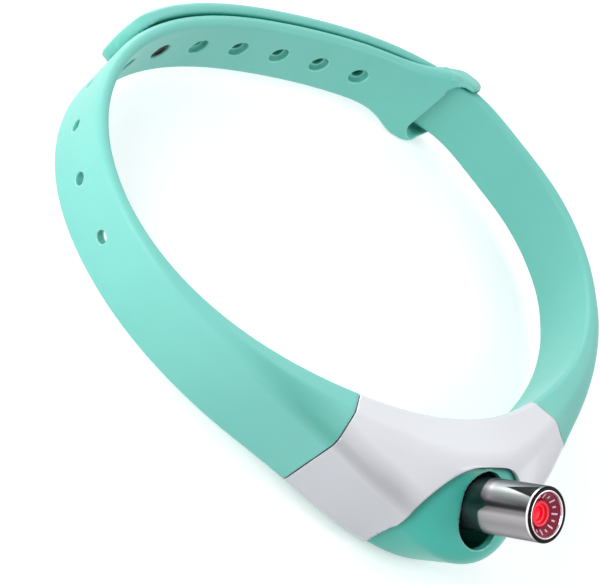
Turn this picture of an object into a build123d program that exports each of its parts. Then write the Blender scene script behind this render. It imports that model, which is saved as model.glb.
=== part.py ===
"""Pet collar with a tilting laser pointer: every physical piece as its own solid.

Frame: +Z is the axis of the collar ring as it lies on a table, -Y points from the ring's
middle to the laser pod, the origin is in the middle of the strap's width.  Millimetres.
"""

import os
from math import cos, degrees, hypot, pi, radians, sin

from build123d import *

os.makedirs("parts", exist_ok=True)

# The strap's inner face seen from above is an oval, round the neck.
RING_RADIUS = 45.95
RING_OVAL = -0.166
RING_EGG = 0.029
RING_SQUARE = 0.018

# Silicone strap.
STRAP_WIDTH = 13.3
STRAP_THICKNESS = 2.4
STRAP_CROWN = 0.15
STRAP_EDGE_RADIUS = 1.0
LAYER_GAP = 0.3
HOLE_COUNT = 11
HOLE_PITCH = 9.85
HOLE_DIAMETER = 2.2
HOLE_SINK_DIAMETER = 3.9
HOLE_SINK_DEPTH = 0.9
FIRST_HOLE_FROM_END = 17.4
STUD_HOLE = 5

# The strap swells towards the pod over this angle on each side.
SWELL_ANGLE = 89.4
SWELL_OUT = 9.5
SWELL_TOP = 2.7
SWELL_BOTTOM = 1.4
SWELL_CROWN = 1.5
CREASE_DROP = 1.7
LEAN_ANGLE = 60.0
LEAN_OUT = 1.2

# The pod housing bulges further out, and its middle carries a sloping nose.
HOUSING_ANGLE = 42.0
HOUSING_OUT = 6.5
HOUSING_BELLY = 2.05
HOUSING_CROWN = 4.4
CREASE_SAG = 7.0
POD_ANGLE = 20.0
POD_NOSE = 4.4
POD_LIFT = 1.1
POD_CROWN = 0.75
FOOT_ANGLE = 28.0
FOOT_IN = 0.95
CREST_SHIFT = 0.8
REST_Z = -9.9

# Strap and housing meet on two upright planes that fan out from one point.
FAN_CENTRE = (0.0, -11.9)
FAN_REACH = 95.0
JOINT_ANGLE = 40.1
JOINT_GAP_ANGLE = 0.16
TONGUE_ANGLE = 34.9
CAVITY_ANGLE = 33.5
TONGUE_INSET = 3.1
TONGUE_CLEARANCE = 0.12
STRAP_PIN_DIAMETER = 1.6
STRAP_PIN_RADIUS = 36.6
STRAP_PIN_ANGLE = 37.4

# Shells of the housing.
COVER_THICKNESS = 1.0
COVER_GAP = 0.05
WALL = 1.4
LEDGE = 1.0
BOTTOM_WALL = 1.9
PLATE_THICKNESS = 1.6
GASKET_THICKNESS = 0.4
PLATE_CLEARANCE = 0.1

# Slot in the sloping face and the barrel that tilts in it.
SLOT_WIDTH = 9.6
SLOT_LENGTH = 12.9
SLOT_SETBACK = 1.1
PIVOT_DEPTH = 9.5
BARREL_ELEVATION = 57.8
BARREL_DIAMETER = 9.0
BARREL_BORE = 7.8
BARREL_FRONT = 22.6
BARREL_REAR = -3.2
COLLAR_DIAMETER = 10.7
COLLAR_HALF_WIDTH = 6.3
COLLAR_HALF_LENGTH = 2.7
CHEEK_INNER = 7.0
CHEEK_THICKNESS = 1.4
PIVOT_PIN_DIAMETER = 2.4
PIVOT_PIN_BORE = 1.3
RUNNING_FIT = 0.04

# Keeper loop at the end of the long strap; each flare is (start, end, height).
STRAP_END_ARC = 183.5
KEEPER_BACK_ARCS = (173.5, 186.0)
KEEPER_MOUTH_ARCS = (187.0, 190.5)
KEEPER_NOTCH = (-8.2, 8.8)
KEEPER_NOTCH_RADIUS = 3.0
KEEPER_WALL = 1.3
KEEPER_PLAY = 0.2
UPPER_FLARE = (172.0, 187.0, 3.6)
LOWER_FLARE = (171.5, 185.0, 3.25)
LIP_TURN = (185.5, 191.5, 1.2)
MOUTH_LOWER_CORNER = (-6.5, 3.0)
MOUTH_UPPER_CORNER = (188.9, 6.5, 1.6)
TAIL_TIP_ARC = 108.3
TAIL_TIP_RADIUS = 6.2

# Electronics, in the two bays beside the barrel.
BAY_ANGLE = 18.5
BOARD_HALF_WIDTH = 4.5
BOARD_FROM = 2.3
BOARD_TO = (8.4, 11.0)
BOARD_THICKNESS = 1.0
BOARD_TOP_Z = -2.6
BUTTON_OUT = 6.9
BUTTON_TRAVEL = 0.3
SOCKET_SIZE = (7.5, 5.2, 2.6)
SOCKET_SHIFT = 0.4
BATTERY_SIZE = (8.6, 4.2, 11.0)
LEAD_DIAMETER = 0.9


def wrapped(theta):
    """The same angle between -180 and 180 degrees."""
    return (theta + 180) % 360 - 180


def smooth(share):
    """Ease from 0 to 1 as the share goes from 0 to 1."""
    share = max(0.0, min(1.0, share))
    return share * share * (3 - 2 * share)


def bell(theta, half_angle):
    """1 at the pod, easing to 0 at the half angle."""
    return 0.5 * (1 + cos(pi * min(1.0, abs(wrapped(theta)) / half_angle)))


def swell(theta):
    """How far the strap has swollen towards the pod, from 0 to 1."""
    return smooth(1 - abs(wrapped(theta)) / SWELL_ANGLE)


def ring_flat(theta):
    """Point of the inner face in plan, theta degrees round from the pod."""
    turn = radians(theta)
    radius = RING_RADIUS * (1 + RING_OVAL * cos(2 * turn) + RING_EGG * cos(3 * turn)
                            + RING_SQUARE * cos(4 * turn))
    return radius * sin(turn), -radius * cos(turn)


def ring_tangent(theta):
    """Unit direction of rising theta in plan."""
    step = 0.01
    x0, y0 = ring_flat(theta - step)
    x1, y1 = ring_flat(theta + step)
    length = hypot(x1 - x0, y1 - y0)
    return (x1 - x0) / length, (y1 - y0) / length


def ring_point(theta, out=0.0, z=0.0):
    """Point at a distance outside the inner face."""
    x, y = ring_flat(theta)
    tx, ty = ring_tangent(theta)
    return Vector(x + ty * out, y - tx * out, z)


def arc_table(step=0.25, reach=300):
    """Angles and the lengths of inner face from the pod to each."""
    rows = [(0.0, 0.0)]
    while rows[-1][0] < reach:
        theta, length = rows[-1]
        x0, y0 = ring_flat(theta)
        x1, y1 = ring_flat(theta + step)
        rows.append((theta + step, length + hypot(x1 - x0, y1 - y0)))
    return rows


ARC_TABLE = arc_table()


def theta_at(arc):
    """Angle reached after a length of inner face; the ring is the same on both sides."""
    target = abs(arc)
    for (theta0, length0), (theta1, length1) in zip(ARC_TABLE, ARC_TABLE[1:]):
        if length1 >= target:
            share = (target - length0) / (length1 - length0)
            theta = theta0 + share * (theta1 - theta0)
            return theta if arc >= 0 else -theta
    raise ValueError("arc is longer than the table")


RING_LENGTH = 2 * next(length for theta, length in ARC_TABLE if theta >= 180)


def arc_at(theta):
    """Length of inner face from the pod to an angle, always positive."""
    for (theta0, length0), (theta1, length1) in zip(ARC_TABLE, ARC_TABLE[1:]):
        if theta1 >= abs(theta):
            return length0 + (abs(theta) - theta0) / (theta1 - theta0) * (length1 - length0)
    raise ValueError("angle is beyond the table")


def frame_at(theta, out=0.0, z=0.0):
    """Local frame: x along the strap, y towards the ring's middle, z up."""
    tx, ty = ring_tangent(theta)
    return Location(Plane(origin=ring_point(theta, out, z), x_dir=(tx, ty, 0), z_dir=(0, 0, 1)))


def outward_frame(theta, out=0.0, z=0.0):
    """Local frame whose z axis points out of the ring."""
    tx, ty = ring_tangent(theta)
    return Location(Plane(origin=ring_point(theta, out, z), x_dir=(tx, ty, 0), z_dir=(ty, -tx, 0)))


def band_corners(theta, flares=(0.0, 0.0)):
    """Corners of the band's section as (out, z), clockwise from the inner lower one."""
    lower_flare, upper_flare = flares
    rise = swell(theta)
    housing = bell(theta, HOUSING_ANGLE)
    pod = bell(theta, POD_ANGLE)
    top = STRAP_WIDTH / 2 + SWELL_TOP * rise + upper_flare
    bottom = -(STRAP_WIDTH / 2 + SWELL_BOTTOM * rise + HOUSING_BELLY * housing + lower_flare)
    flank = STRAP_THICKNESS + SWELL_OUT * rise + HOUSING_OUT * housing
    crease_out = flank + LEAN_OUT * bell(theta, LEAN_ANGLE) + POD_NOSE * pod
    crease_z = top - CREASE_DROP * rise - CREASE_SAG * housing + POD_LIFT * pod
    crest_out = flank / 2 + CREST_SHIFT * pod
    chord_z = top + (crease_z - top) * crest_out / crease_out
    crown = STRAP_CROWN + SWELL_CROWN * rise + HOUSING_CROWN * housing + POD_CROWN * pod
    crest_z = chord_z + crown
    return [(0, bottom), (0, top), (crest_out, crest_z), (crease_out, crease_z),
            (flank - FOOT_IN * bell(theta, FOOT_ANGLE), bottom)]


def band_radii(theta):
    """Rounding of the five corners, softer on the housing."""
    rise = swell(theta)
    housing = bell(theta, HOUSING_ANGLE)
    edge = STRAP_EDGE_RADIUS
    return [edge + 0.3 * rise, edge + 0.3 * rise, 1.0 + 2.5 * rise + 1.5 * housing,
            edge + 1.9 * rise + 1.6 * housing, edge + 0.3 * rise + 4.0 * housing]


def moved_in(corners, insets):
    """Move each side of a clockwise outline inwards by its own distance."""
    count = len(corners)
    lines = []
    for index, inset in enumerate(insets):
        x0, z0 = corners[index]
        x1, z1 = corners[(index + 1) % count]
        length = hypot(x1 - x0, z1 - z0)
        dx, dz = (x1 - x0) / length, (z1 - z0) / length
        lines.append((x0 + dz * inset, z0 - dx * inset, dx, dz))
    moved = []
    for index in range(count):
        ax, az, adx, adz = lines[index - 1]
        bx, bz, bdx, bdz = lines[index]
        along = ((bx - ax) * bdz - (bz - az) * bdx) / (adx * bdz - adz * bdx)
        moved.append((ax + adx * along, az + adz * along))
    return moved


def rounded_wire(corners, radii, theta):
    """Closed outline with round corners, stood up on the ring at an angle."""
    count = len(corners)
    points = [ring_point(theta, out, z) for out, z in corners]
    edges = []
    last = None
    first = None
    for index in range(count):
        here = points[index]
        back = (points[index - 1] - here).normalized()
        ahead = (points[(index + 1) % count] - here).normalized()
        half_angle = radians(back.get_angle(ahead)) / 2
        setback = radii[index] * cos(half_angle) / sin(half_angle)
        centre = here + (back + ahead).normalized() * (radii[index] / sin(half_angle))
        start, end = here + back * setback, here + ahead * setback
        middle = centre + (here - centre).normalized() * radii[index]
        if last is not None:
            edges.append(Edge.make_line(last, start))
        else:
            first = start
        edges.append(Edge.make_three_point_arc(start, middle, end))
        last = end
    edges.append(Edge.make_line(last, first))
    return Wire(edges)


def stations(start, end, step):
    """Evenly spaced angles from start to end, both included."""
    count = max(2, round(abs(end - start) / step) + 1)
    return [start + (end - start) * index / (count - 1) for index in range(count)]


def band(start, end, insets=(0, 0, 0, 0, 0), step=5.5, lift=None, flares=None):
    """Solid swept along the ring with the band's section, its sides moved in by the insets."""
    smallest_radius = 0.25
    trim = max(0.0, min(insets[1:4]))
    wires = []
    for theta in stations(start, end, step):
        corners = band_corners(theta, flares(theta)) if flares else band_corners(theta)
        if any(insets):
            corners = moved_in(corners, insets)
        if lift:
            corners = [(out + lift(theta), z) for out, z in corners]
        radii = [max(smallest_radius, radius - trim) for radius in band_radii(theta)]
        wires.append(rounded_wire(corners, radii, theta))
    return Solid.make_loft(wires)


def fan(angle, low=-30.0, high=30.0):
    """Upright wedge about the pod, between the two planes at the angle."""
    cx, cy = FAN_CENTRE
    side = radians(angle)
    left = (cx - FAN_REACH * sin(side), cy - FAN_REACH * cos(side))
    right = (cx + FAN_REACH * sin(side), cy - FAN_REACH * cos(side))
    outline = make_face(Polyline(FAN_CENTRE, left, right, close=True))
    return Pos(0, 0, low) * extrude(outline, high - low)


def fan_point(angle, radius, z=0.0):
    """Point at a radius from the fan's centre."""
    cx, cy = FAN_CENTRE
    return Vector(cx + radius * sin(radians(angle)), cy - radius * cos(radians(angle)), z)


def rod(diameter, start, end):
    """Round bar between two points."""
    axis = Vector(end) - Vector(start)
    return Location(Plane(origin=start, z_dir=axis)) * Cylinder(
        diameter / 2, axis.length, align=(Align.CENTER, Align.CENTER, Align.MIN))


def upright(diameter, height, bottom=0.0):
    """Cylinder standing on a level."""
    return Pos(0, 0, bottom) * Cylinder(diameter / 2, height, align=(Align.CENTER, Align.CENTER, Align.MIN))


def tube(outer, bore, start, end):
    """Ring or tube along local Z."""
    return upright(outer, end - start, start) - upright(bore, end - start + 2, start - 1)


def block(size, centre):
    """Box about a centre."""
    return Pos(*centre) * Box(*size)


# Frame of the sloping face, from the body's own section at the pod.
SKIN = COVER_THICKNESS + COVER_GAP
BODY_SECTION = moved_in(band_corners(0), (0, SKIN, SKIN, SKIN, 0))
CREST = ring_point(0, *BODY_SECTION[2])
NOSE = ring_point(0, *BODY_SECTION[3])
DOWN_SLOPE = (NOSE - CREST).normalized()
SLOPE_NORMAL = Vector(1, 0, 0).cross(DOWN_SLOPE).normalized() * -1
SLOT_MIDDLE = CREST + DOWN_SLOPE * (SLOT_SETBACK + SLOT_LENGTH / 2)
PIVOT = SLOT_MIDDLE - SLOPE_NORMAL * PIVOT_DEPTH
BARREL_AXIS = Vector(0, -cos(radians(BARREL_ELEVATION)), sin(radians(BARREL_ELEVATION)))
FACE = Location(Plane(origin=SLOT_MIDDLE, x_dir=(1, 0, 0), z_dir=SLOPE_NORMAL))
BARREL = Location(Plane(origin=PIVOT, x_dir=(1, 0, 0), z_dir=BARREL_AXIS))

nodes = {}


def housing_pieces():
    """White cover, green body, neck-side plate and gasket, all cut from one form."""
    reach = 46
    wedge = fan(JOINT_ANGLE - JOINT_GAP_ANGLE)
    table = block((200, 200, 20), (0, 0, REST_Z - 10))
    outside = 2.0

    form = band(-reach, reach)
    under_cover = band(-reach - 1, reach + 1, (-outside, COVER_THICKNESS, COVER_THICKNESS,
                                               COVER_THICKNESS, -outside))
    cover = (form & wedge) - under_cover - arch_cutter() - table

    body = band(-reach, reach, (0, SKIN, SKIN, SKIN, 0)) & wedge
    recess_depth = PLATE_THICKNESS + GASKET_THICKNESS
    edge_top = SKIN + LEDGE
    edge_bottom = BOTTOM_WALL - LEDGE
    recess_walls = (edge_top, SKIN + WALL, SKIN + WALL, edge_bottom)
    recess_angle = CAVITY_ANGLE + 1.4
    recess = (band(-reach, reach, (-outside, *recess_walls))
              - band(-reach - 1, reach + 1, (recess_depth, -outside, -outside, -outside, -outside)))
    cavity_walls = (SKIN + WALL + 0.6, SKIN + WALL, SKIN + WALL, BOTTOM_WALL)
    cavity = band(-reach, reach, (-outside, *cavity_walls)) & fan(CAVITY_ANGLE)
    cheeks = []
    for side in (-1, 1):
        middle = side * (CHEEK_INNER + CHEEK_THICKNESS / 2)
        cheek = block((CHEEK_THICKNESS, 60, 60), (middle, -60, 0))
        notch = block((CHEEK_THICKNESS + 1, 3.6, 4.0), (middle, ring_flat(0)[1] - 3.6, 3.4))
        for z in SCREW_LEVELS:
            boss_y = ring_flat(0)[1] - recess_depth
            cheek += rod(3.4, (middle, boss_y, z), (middle, boss_y - 5.5, z))
        bay_gap = 0.4
        behind = block((40, 40, 40), (middle, ring_flat(0)[1] - recess_depth - bay_gap + 20, 0))
        cheeks.append(cheek - notch - behind)
    cavity = cavity - cheeks[0] - cheeks[1]
    body = body - (recess & fan(recess_angle)) - cavity - slot_cutter() - table
    tongue_room = band(-reach, reach, [TONGUE_INSET - TONGUE_CLEARANCE] * 5)
    body -= tongue_room - fan(TONGUE_ANGLE - 0.2)
    for side in (-1, 1):
        body -= strap_pin(side, 0.0)
        body -= rod(PIVOT_PIN_DIAMETER, PIVOT + Vector(side * (CHEEK_INNER - 0.5), 0, 0),
                    PIVOT + Vector(side * (CHEEK_INNER + CHEEK_THICKNESS + 0.5), 0, 0))
        for z in SCREW_LEVELS:
            body -= plate_screw_shank(side, z, 1.2)
    body -= button_place() * (upright(BUTTON_HOLE, 4, -11) + upright(BUTTON_FLANGE + 0.4, 3, BUTTON_FLANGE_Z - 0.05))
    body += board_posts()

    plate_walls = tuple(wall + PLATE_CLEARANCE for wall in recess_walls)
    plate_full = band(-reach, reach, (0, *plate_walls)) & fan(recess_angle - 0.2)
    behind_plate = band(-reach - 1, reach + 1, (PLATE_THICKNESS, -outside, -outside, -outside, -outside))
    plate = plate_full - behind_plate
    gasket_full = band(-reach, reach, (-outside, *plate_walls)) & fan(recess_angle - 0.2) & behind_plate
    behind_gasket = band(-reach - 1, reach + 1, (recess_depth, -outside, -outside, -outside, -outside))
    window_walls = tuple(wall + 0.1 for wall in cavity_walls)
    window = band(-reach, reach, (-outside, *window_walls)) & fan(CAVITY_ANGLE - 0.3)
    gasket = gasket_full - behind_gasket - window
    for side in (-1, 1):
        for z in SCREW_LEVELS:
            plate -= plate_screw_shank(side, z, 1.6)
            plate -= plate_screw_seat(side, z)
            gasket -= plate_screw_shank(side, z, 1.6)
    plate -= socket_opening() + flap_recess()
    nodes["front_cover"] = cover
    nodes["pod_body"] = body
    nodes["back_plate"] = plate
    nodes["back_plate_gasket"] = gasket


def arch_cutter():
    """Arched opening of the cover, cut square to the sloping face."""
    half = [(0.0, -0.8), (5.4, -0.2), (9.2, 2.4), (12.4, 5.9), (14.5, 9.8), (14.1, 12.9), (13.4, 16.0)]
    from_middle = SLOT_LENGTH / 2
    right = [(x, from_middle - down) for x, down in half]
    left = [(-x, y) for x, y in reversed(right[1:])]
    curve = Spline(*(left + right))
    close = Polyline(right[-1], (right[-1][0], -30), (-right[-1][0], -30), left[0])
    return FACE * Pos(0, 0, -20) * extrude(make_face(curve + close), 40)


def slot_cutter():
    """Long round-ended slot through the sloping wall."""
    outline = Rot(0, 0, 90) * SlotOverall(SLOT_LENGTH, SLOT_WIDTH)
    return FACE * Pos(0, 0, -4.5) * extrude(outline, 12)


SCREW_LEVELS = (-6.3, 6.0)
SCREW_X = CHEEK_INNER + CHEEK_THICKNESS / 2
BUTTON_HOLE = 5.0
BUTTON_FLANGE = 6.2
BUTTON_FLANGE_Z = -7.15


def plate_screw_frame(side, z):
    """Frame of a plate screw at the neck-side face, z pointing into the housing."""
    x = side * SCREW_X
    theta = degrees(SCREW_X / abs(ring_flat(0)[1])) * side
    return Location(Plane(origin=(x, ring_flat(theta)[1], z), z_dir=(0, -1, 0)))


def plate_screw_shank(side, z, diameter):
    """Screw shank through the plate into the cheek's boss."""
    return plate_screw_frame(side, z) * upright(diameter, 4.7, 0.5)


def plate_screw_head(side, z):
    """Countersunk head, a little below the neck side."""
    head = Cone(1.25, 0.6, 0.7, align=(Align.CENTER, Align.CENTER, Align.MIN))
    return plate_screw_frame(side, z) * Pos(0, 0, 0.25) * head


def plate_screw_seat(side, z):
    """Countersink for the head, open at the neck side."""
    cone = Cone(1.35, 0.7, 0.7, align=(Align.CENTER, Align.CENTER, Align.MIN))
    return plate_screw_frame(side, z) * (Pos(0, 0, 0.3) * cone + upright(2.7, 1.31, -1.0))


def button_place():
    """Column under the main board on which button and switch stand."""
    return frame_at(-BAY_ANGLE) * Pos(0, -BUTTON_OUT, 0)


BOARD_SCREW_PLACE = (3.3, 9.9)
BOARD_REST_PLACE = (-3.6, 3.3)


def board_posts():
    """Screw post and rest that carry the main board in the left bay."""
    under_board = BOARD_TOP_Z - BOARD_THICKNESS
    foot = REST_Z + 2.0
    screw_along, screw_out = BOARD_SCREW_PLACE
    rest_along, rest_out = BOARD_REST_PLACE
    post = Pos(screw_along, -screw_out, 0) * tube(2.4, 0.9, foot, under_board)
    rest = Pos(rest_along, -rest_out, 0) * upright(1.4, under_board - foot, foot)
    return frame_at(-BAY_ANGLE) * (post + rest)


def strap_pin(side, clearance=0.0):
    """Pin through housing and strap tongue, from below."""
    foot = fan_point(side * STRAP_PIN_ANGLE, STRAP_PIN_RADIUS, -8.4)
    head = fan_point(side * STRAP_PIN_ANGLE, STRAP_PIN_RADIUS, 6.4)
    return rod(STRAP_PIN_DIAMETER + 2 * clearance, foot, head)


def flare_at(arc, flare):
    """Extra half height at a length of strap, easing in between two lengths."""
    start, end, height = flare
    return height * smooth((arc - start) / (end - start))


def strap_flares(theta):
    """Lower and upper flare of the long strap where it opens into the keeper."""
    arc = arc_at(theta)
    return flare_at(arc, LOWER_FLARE), flare_at(arc, UPPER_FLARE)


def tail_lift(theta):
    """Distance by which the short strap rides outside the long one."""
    arc = arc_at(theta)
    return (STRAP_THICKNESS + LAYER_GAP) * smooth((arc - 92) / 16)


def keeper():
    """Funnel-shaped loop moulded on the long strap, through which the short strap slides."""
    room_out = 2 * STRAP_THICKNESS + LAYER_GAP + KEEPER_PLAY
    outer = room_out + KEEPER_WALL
    free = STRAP_WIDTH / 2 + KEEPER_PLAY
    roof = free + KEEPER_WALL
    arcs = stations(KEEPER_BACK_ARCS[0] - 1, KEEPER_MOUTH_ARCS[1] + 1, 2.0)
    shell = []
    room = []
    for arc in arcs:
        lip_turn = flare_at(arc, LIP_TURN)
        lower = STRAP_WIDTH / 2 + flare_at(arc, LOWER_FLARE) - lip_turn
        upper = STRAP_WIDTH / 2 + flare_at(arc, UPPER_FLARE) - lip_turn
        corners = [(0, -lower), (0, upper), (outer, roof), (outer, -lower)]
        shell.append(rounded_wire(corners, [0.9, 1.6, 1.2, 1.6], -theta_at(arc)))
        room_lower = max(free, lower - KEEPER_WALL)
        corners = [(STRAP_THICKNESS, -room_lower), (STRAP_THICKNESS, free), (room_out, free), (room_out, -room_lower)]
        room.append(rounded_wire(corners, [0.5] * 4, -theta_at(arc)))
    back_cut = slanting_cut(KEEPER_BACK_ARCS, outer, -1)
    mouth_cut = slanting_cut(KEEPER_MOUTH_ARCS, outer, 1)
    loop = Solid.make_loft(shell) - Solid.make_loft(room) - back_cut - mouth_cut - end_notch()
    arc, level, radius = MOUTH_UPPER_CORNER
    loop -= outward_frame(-theta_at(arc), 4, level) * corner_waste(radius, 1)
    level, radius = MOUTH_LOWER_CORNER
    inner, slant = slant_line(KEEPER_MOUTH_ARCS, outer)
    into_keeper = Vector(0, 0, 1).cross(slant)
    centre = inner + into_keeper * radius + Vector(0, 0, level)
    return loop - Location(Plane(origin=centre, x_dir=into_keeper, z_dir=slant)) * corner_waste(radius, -1)


def corner_waste(radius, outwards):
    """What lies outside a round corner in local -X, towards +Y or -Y, all through local Z."""
    reach = radius + 4
    square = block((reach, reach, 30), (-reach / 2, outwards * reach / 2, 0))
    return square - upright(2 * radius, 32, -16)


def slant_line(arcs, outer):
    """Point on the inner face and unit direction from there to the outer face's own arc."""
    inner = ring_point(-theta_at(arcs[0]))
    return inner, (ring_point(-theta_at(arcs[1]), outer) - inner).normalized()


def end_notch():
    """Round-cornered notch that lets the inner wall end before the keeper's mouth."""
    low, high = KEEPER_NOTCH
    length = 20.0
    shape = Pos(-length / 2, (low + high) / 2) * RectangleRounded(length, high - low, KEEPER_NOTCH_RADIUS)
    return outward_frame(-theta_at(STRAP_END_ARC), -3) * extrude(shape, 3 + STRAP_THICKNESS + 0.1)


def slanting_cut(arcs, outer, beyond_end):
    """Upright wedge that ends the keeper on a slant, from its inner face to its outer one."""
    reach = 25.0
    inner, slant = slant_line(arcs, outer)
    near, far = inner - slant * 3, inner + slant * (outer + 16)
    rising_x, rising_y = ring_tangent(-theta_at(arcs[0]))
    away = Vector(rising_x, rising_y, 0) * (-reach * beyond_end)
    corners = [near, far, far + away, near + away]
    outline = Polyline(*[(corner.X, corner.Y) for corner in corners], close=True)
    return Pos(0, 0, -30) * extrude(make_face(outline), 60)


def hole_cutter(theta):
    """Adjustment hole with a sink on the neck side for the stud's head."""
    through = outward_frame(theta, -1) * upright(HOLE_DIAMETER, STRAP_THICKNESS + 2)
    sink = outward_frame(theta, -1) * upright(HOLE_SINK_DIAMETER, 1 + HOLE_SINK_DEPTH)
    return through + sink


def hole_theta(index):
    """Angle of an adjustment hole, counted from the keeper."""
    return -theta_at(STRAP_END_ARC - FIRST_HOLE_FROM_END - index * HOLE_PITCH)


def tongue(side):
    """End of a strap that reaches into the housing."""
    inner = band(-46, 46, [TONGUE_INSET] * 5) & (fan(JOINT_ANGLE + 1.0) - fan(TONGUE_ANGLE))
    half = block((100, 200, 100), (side * 50, 0, 0))
    return inner & half


def strap_pieces():
    """Two silicone straps, the stud that joins them and the pins that hold them."""
    outside_housing = fan(JOINT_ANGLE + JOINT_GAP_ANGLE)
    start = 26.0
    end = theta_at(STRAP_END_ARC)
    long_strap = band(-start, -end, step=8.0, flares=strap_flares) - outside_housing
    long_strap += keeper()
    for index in range(HOLE_COUNT):
        long_strap -= hole_cutter(hole_theta(index))
    long_strap = long_strap + tongue(-1) - strap_pin(-1)

    tip_theta = theta_at(RING_LENGTH - TAIL_TIP_ARC)
    short_strap = band(start, tip_theta, step=8.0, lift=tail_lift) - outside_housing
    tip_frame = outward_frame(theta_at(RING_LENGTH - TAIL_TIP_ARC), -4)
    tip_shape = RectangleRounded(40, STRAP_WIDTH + 0.02, TAIL_TIP_RADIUS)
    beyond = block((2 * TAIL_TIP_RADIUS, 30, 16), (-TAIL_TIP_RADIUS, 0, 8))
    short_strap -= tip_frame * (beyond - Pos(-20, 0, -1) * extrude(tip_shape, 20))
    stud_theta = hole_theta(STUD_HOLE) + 360
    base_out = STRAP_THICKNESS + LAYER_GAP
    short_strap -= outward_frame(stud_theta, 0) * upright(2.0, 12)
    short_strap = short_strap + tongue(1) - strap_pin(1)

    stud = upright(3.3, 0.65, 0.15) + upright(2.0, base_out + STRAP_THICKNESS + 0.6 - 0.8, 0.8)
    stud = fillet(stud.edges().filter_by(GeomType.CIRCLE).sort_by(Axis.Z)[0], 0.25)
    cap = upright(5.0, 1.1, base_out + STRAP_THICKNESS + 0.05)
    cap = fillet(cap.edges().sort_by(Axis.Z)[-1], 0.5)
    cap -= upright(2.0, 0.62, base_out + STRAP_THICKNESS)
    nodes["strap_long"] = long_strap
    nodes["strap_short"] = short_strap
    nodes["clasp_stud"] = outward_frame(stud_theta) * stud
    nodes["stud_cap"] = outward_frame(stud_theta) * cap
    nodes["strap_pins"] = Compound([strap_pin(-1), strap_pin(1)])


def barrel_pieces():
    """Everything that tilts with the barrel, built along the barrel's own axis."""
    radius = BARREL_DIAMETER / 2
    sleeve = tube(BARREL_DIAMETER, BARREL_BORE, BARREL_REAR, BARREL_FRONT)
    sleeve = fillet(sleeve.edges().filter_by(GeomType.CIRCLE).sort_by(Axis.Z)[-2:], 0.25)
    lead_hole = rod(1.8, (-radius - 1, 0, 0), (0, 0, 0))
    nodes["barrel_sleeve"] = BARREL * (sleeve - lead_hole)

    bezel = tube(BARREL_BORE, 7.05, BARREL_FRONT - 1.7, BARREL_FRONT - 0.15)
    bezel = fillet(bezel.edges().filter_by(GeomType.CIRCLE).sort_by(Axis.Z)[-2:], 0.17)
    nodes["front_bezel"] = BARREL * bezel

    ring_back = BARREL_FRONT - 2.7
    cone = Pos(0, 0, BARREL_FRONT - 1.7) * Cone(2.15, 3.5, 1.2, align=(Align.CENTER, Align.CENTER, Align.MIN))
    ring = upright(7.0, 2.0, ring_back) + upright(BARREL_BORE - 0.05, 0.95, ring_back)
    ring = ring - cone - upright(4.3, 4, ring_back - 1)
    nodes["marked_ring"] = BARREL * ring

    lens = upright(4.25, 1.2, ring_back - 0.5)
    step_up = upright(3.0, 0.35, ring_back + 0.7)
    dome = Pos(0, 0, ring_back + 1.05) * (Sphere(1.2) & block((4, 4, 2), (0, 0, 1)))
    nodes["laser_lens"] = BARREL * (lens + step_up + dome)

    module_front = ring_back - 0.55
    module = tube(6.0, 3.7, module_front - 12, module_front) + tube(6.0, 1.8, module_front - 12, module_front - 9)
    nodes["laser_module"] = BARREL * module
    nodes["module_holder"] = BARREL * tube(BARREL_BORE, 6.0, module_front - 11, module_front - 0.05)
    can = upright(3.6, 1.0, module_front - 8.95) + upright(2.8, 1.6, module_front - 7.95)
    for x in (-0.6, 0.6):
        can += Pos(x, 0, 0) * upright(0.45, 3.6, module_front - 12.5)
    nodes["laser_diode"] = BARREL * can
    board = upright(5.6, 0.8, module_front - 13.6)
    nodes["driver_board"] = BARREL * board

    plug = upright(BARREL_BORE, 2.0, BARREL_REAR - 0.5) + upright(BARREL_DIAMETER, 0.9, BARREL_REAR - 0.9)
    plug = fillet(plug.edges().sort_by(Axis.Z)[0], 0.35)
    nodes["rear_plug"] = BARREL * plug

    collar = upright(COLLAR_DIAMETER, 2 * COLLAR_HALF_LENGTH, -COLLAR_HALF_LENGTH)
    boss = rod(5.2, (-COLLAR_HALF_WIDTH, 0, 0), (COLLAR_HALF_WIDTH, 0, 0))
    collar = collar + boss - upright(BARREL_DIAMETER, 8, -4)
    bore = PIVOT_PIN_DIAMETER + 2 * RUNNING_FIT
    collar -= rod(bore, (-10, 0, 0), (10, 0, 0))
    nodes["swivel_collar"] = BARREL * collar

    pins = []
    washers = []
    for side in (-1, 1):
        inner = side * (radius + 0.08)
        outer = side * (CHEEK_INNER + CHEEK_THICKNESS)
        pin = rod(PIVOT_PIN_DIAMETER, (inner, 0, 0), (outer, 0, 0))
        pin -= rod(PIVOT_PIN_BORE, (inner - side, 0, 0), (outer + side, 0, 0))
        pins.append(BARREL * pin)
        washer = rod(4.6, (side * (COLLAR_HALF_WIDTH + 0.06), 0, 0), (side * (CHEEK_INNER - 0.05), 0, 0))
        washer -= rod(bore, (side * 5, 0, 0), (side * 8, 0, 0))
        washers.append(BARREL * washer)
    nodes["pivot_pins"] = Compound(pins)
    nodes["friction_washers"] = Compound(washers)

    lead_end = board.bounding_box().min.Z
    turn_at = (-1.0, 0, 1.0)
    path = Spline((-radius + 0.45, 0, 0), turn_at, (-0.6, 0, lead_end - 0.02), tangents=[(1, 0, 0), (0, 0, 1)])
    nodes["module_lead"] = BARREL * lead_along(path)


def lead_along(path, diameter=LEAD_DIAMETER):
    """Sheathed lead swept along a path."""
    start = path @ 0
    section = Plane(origin=start, z_dir=path % 0) * Circle(diameter / 2)
    return sweep(section, path, transition=Transition.ROUND)


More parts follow.
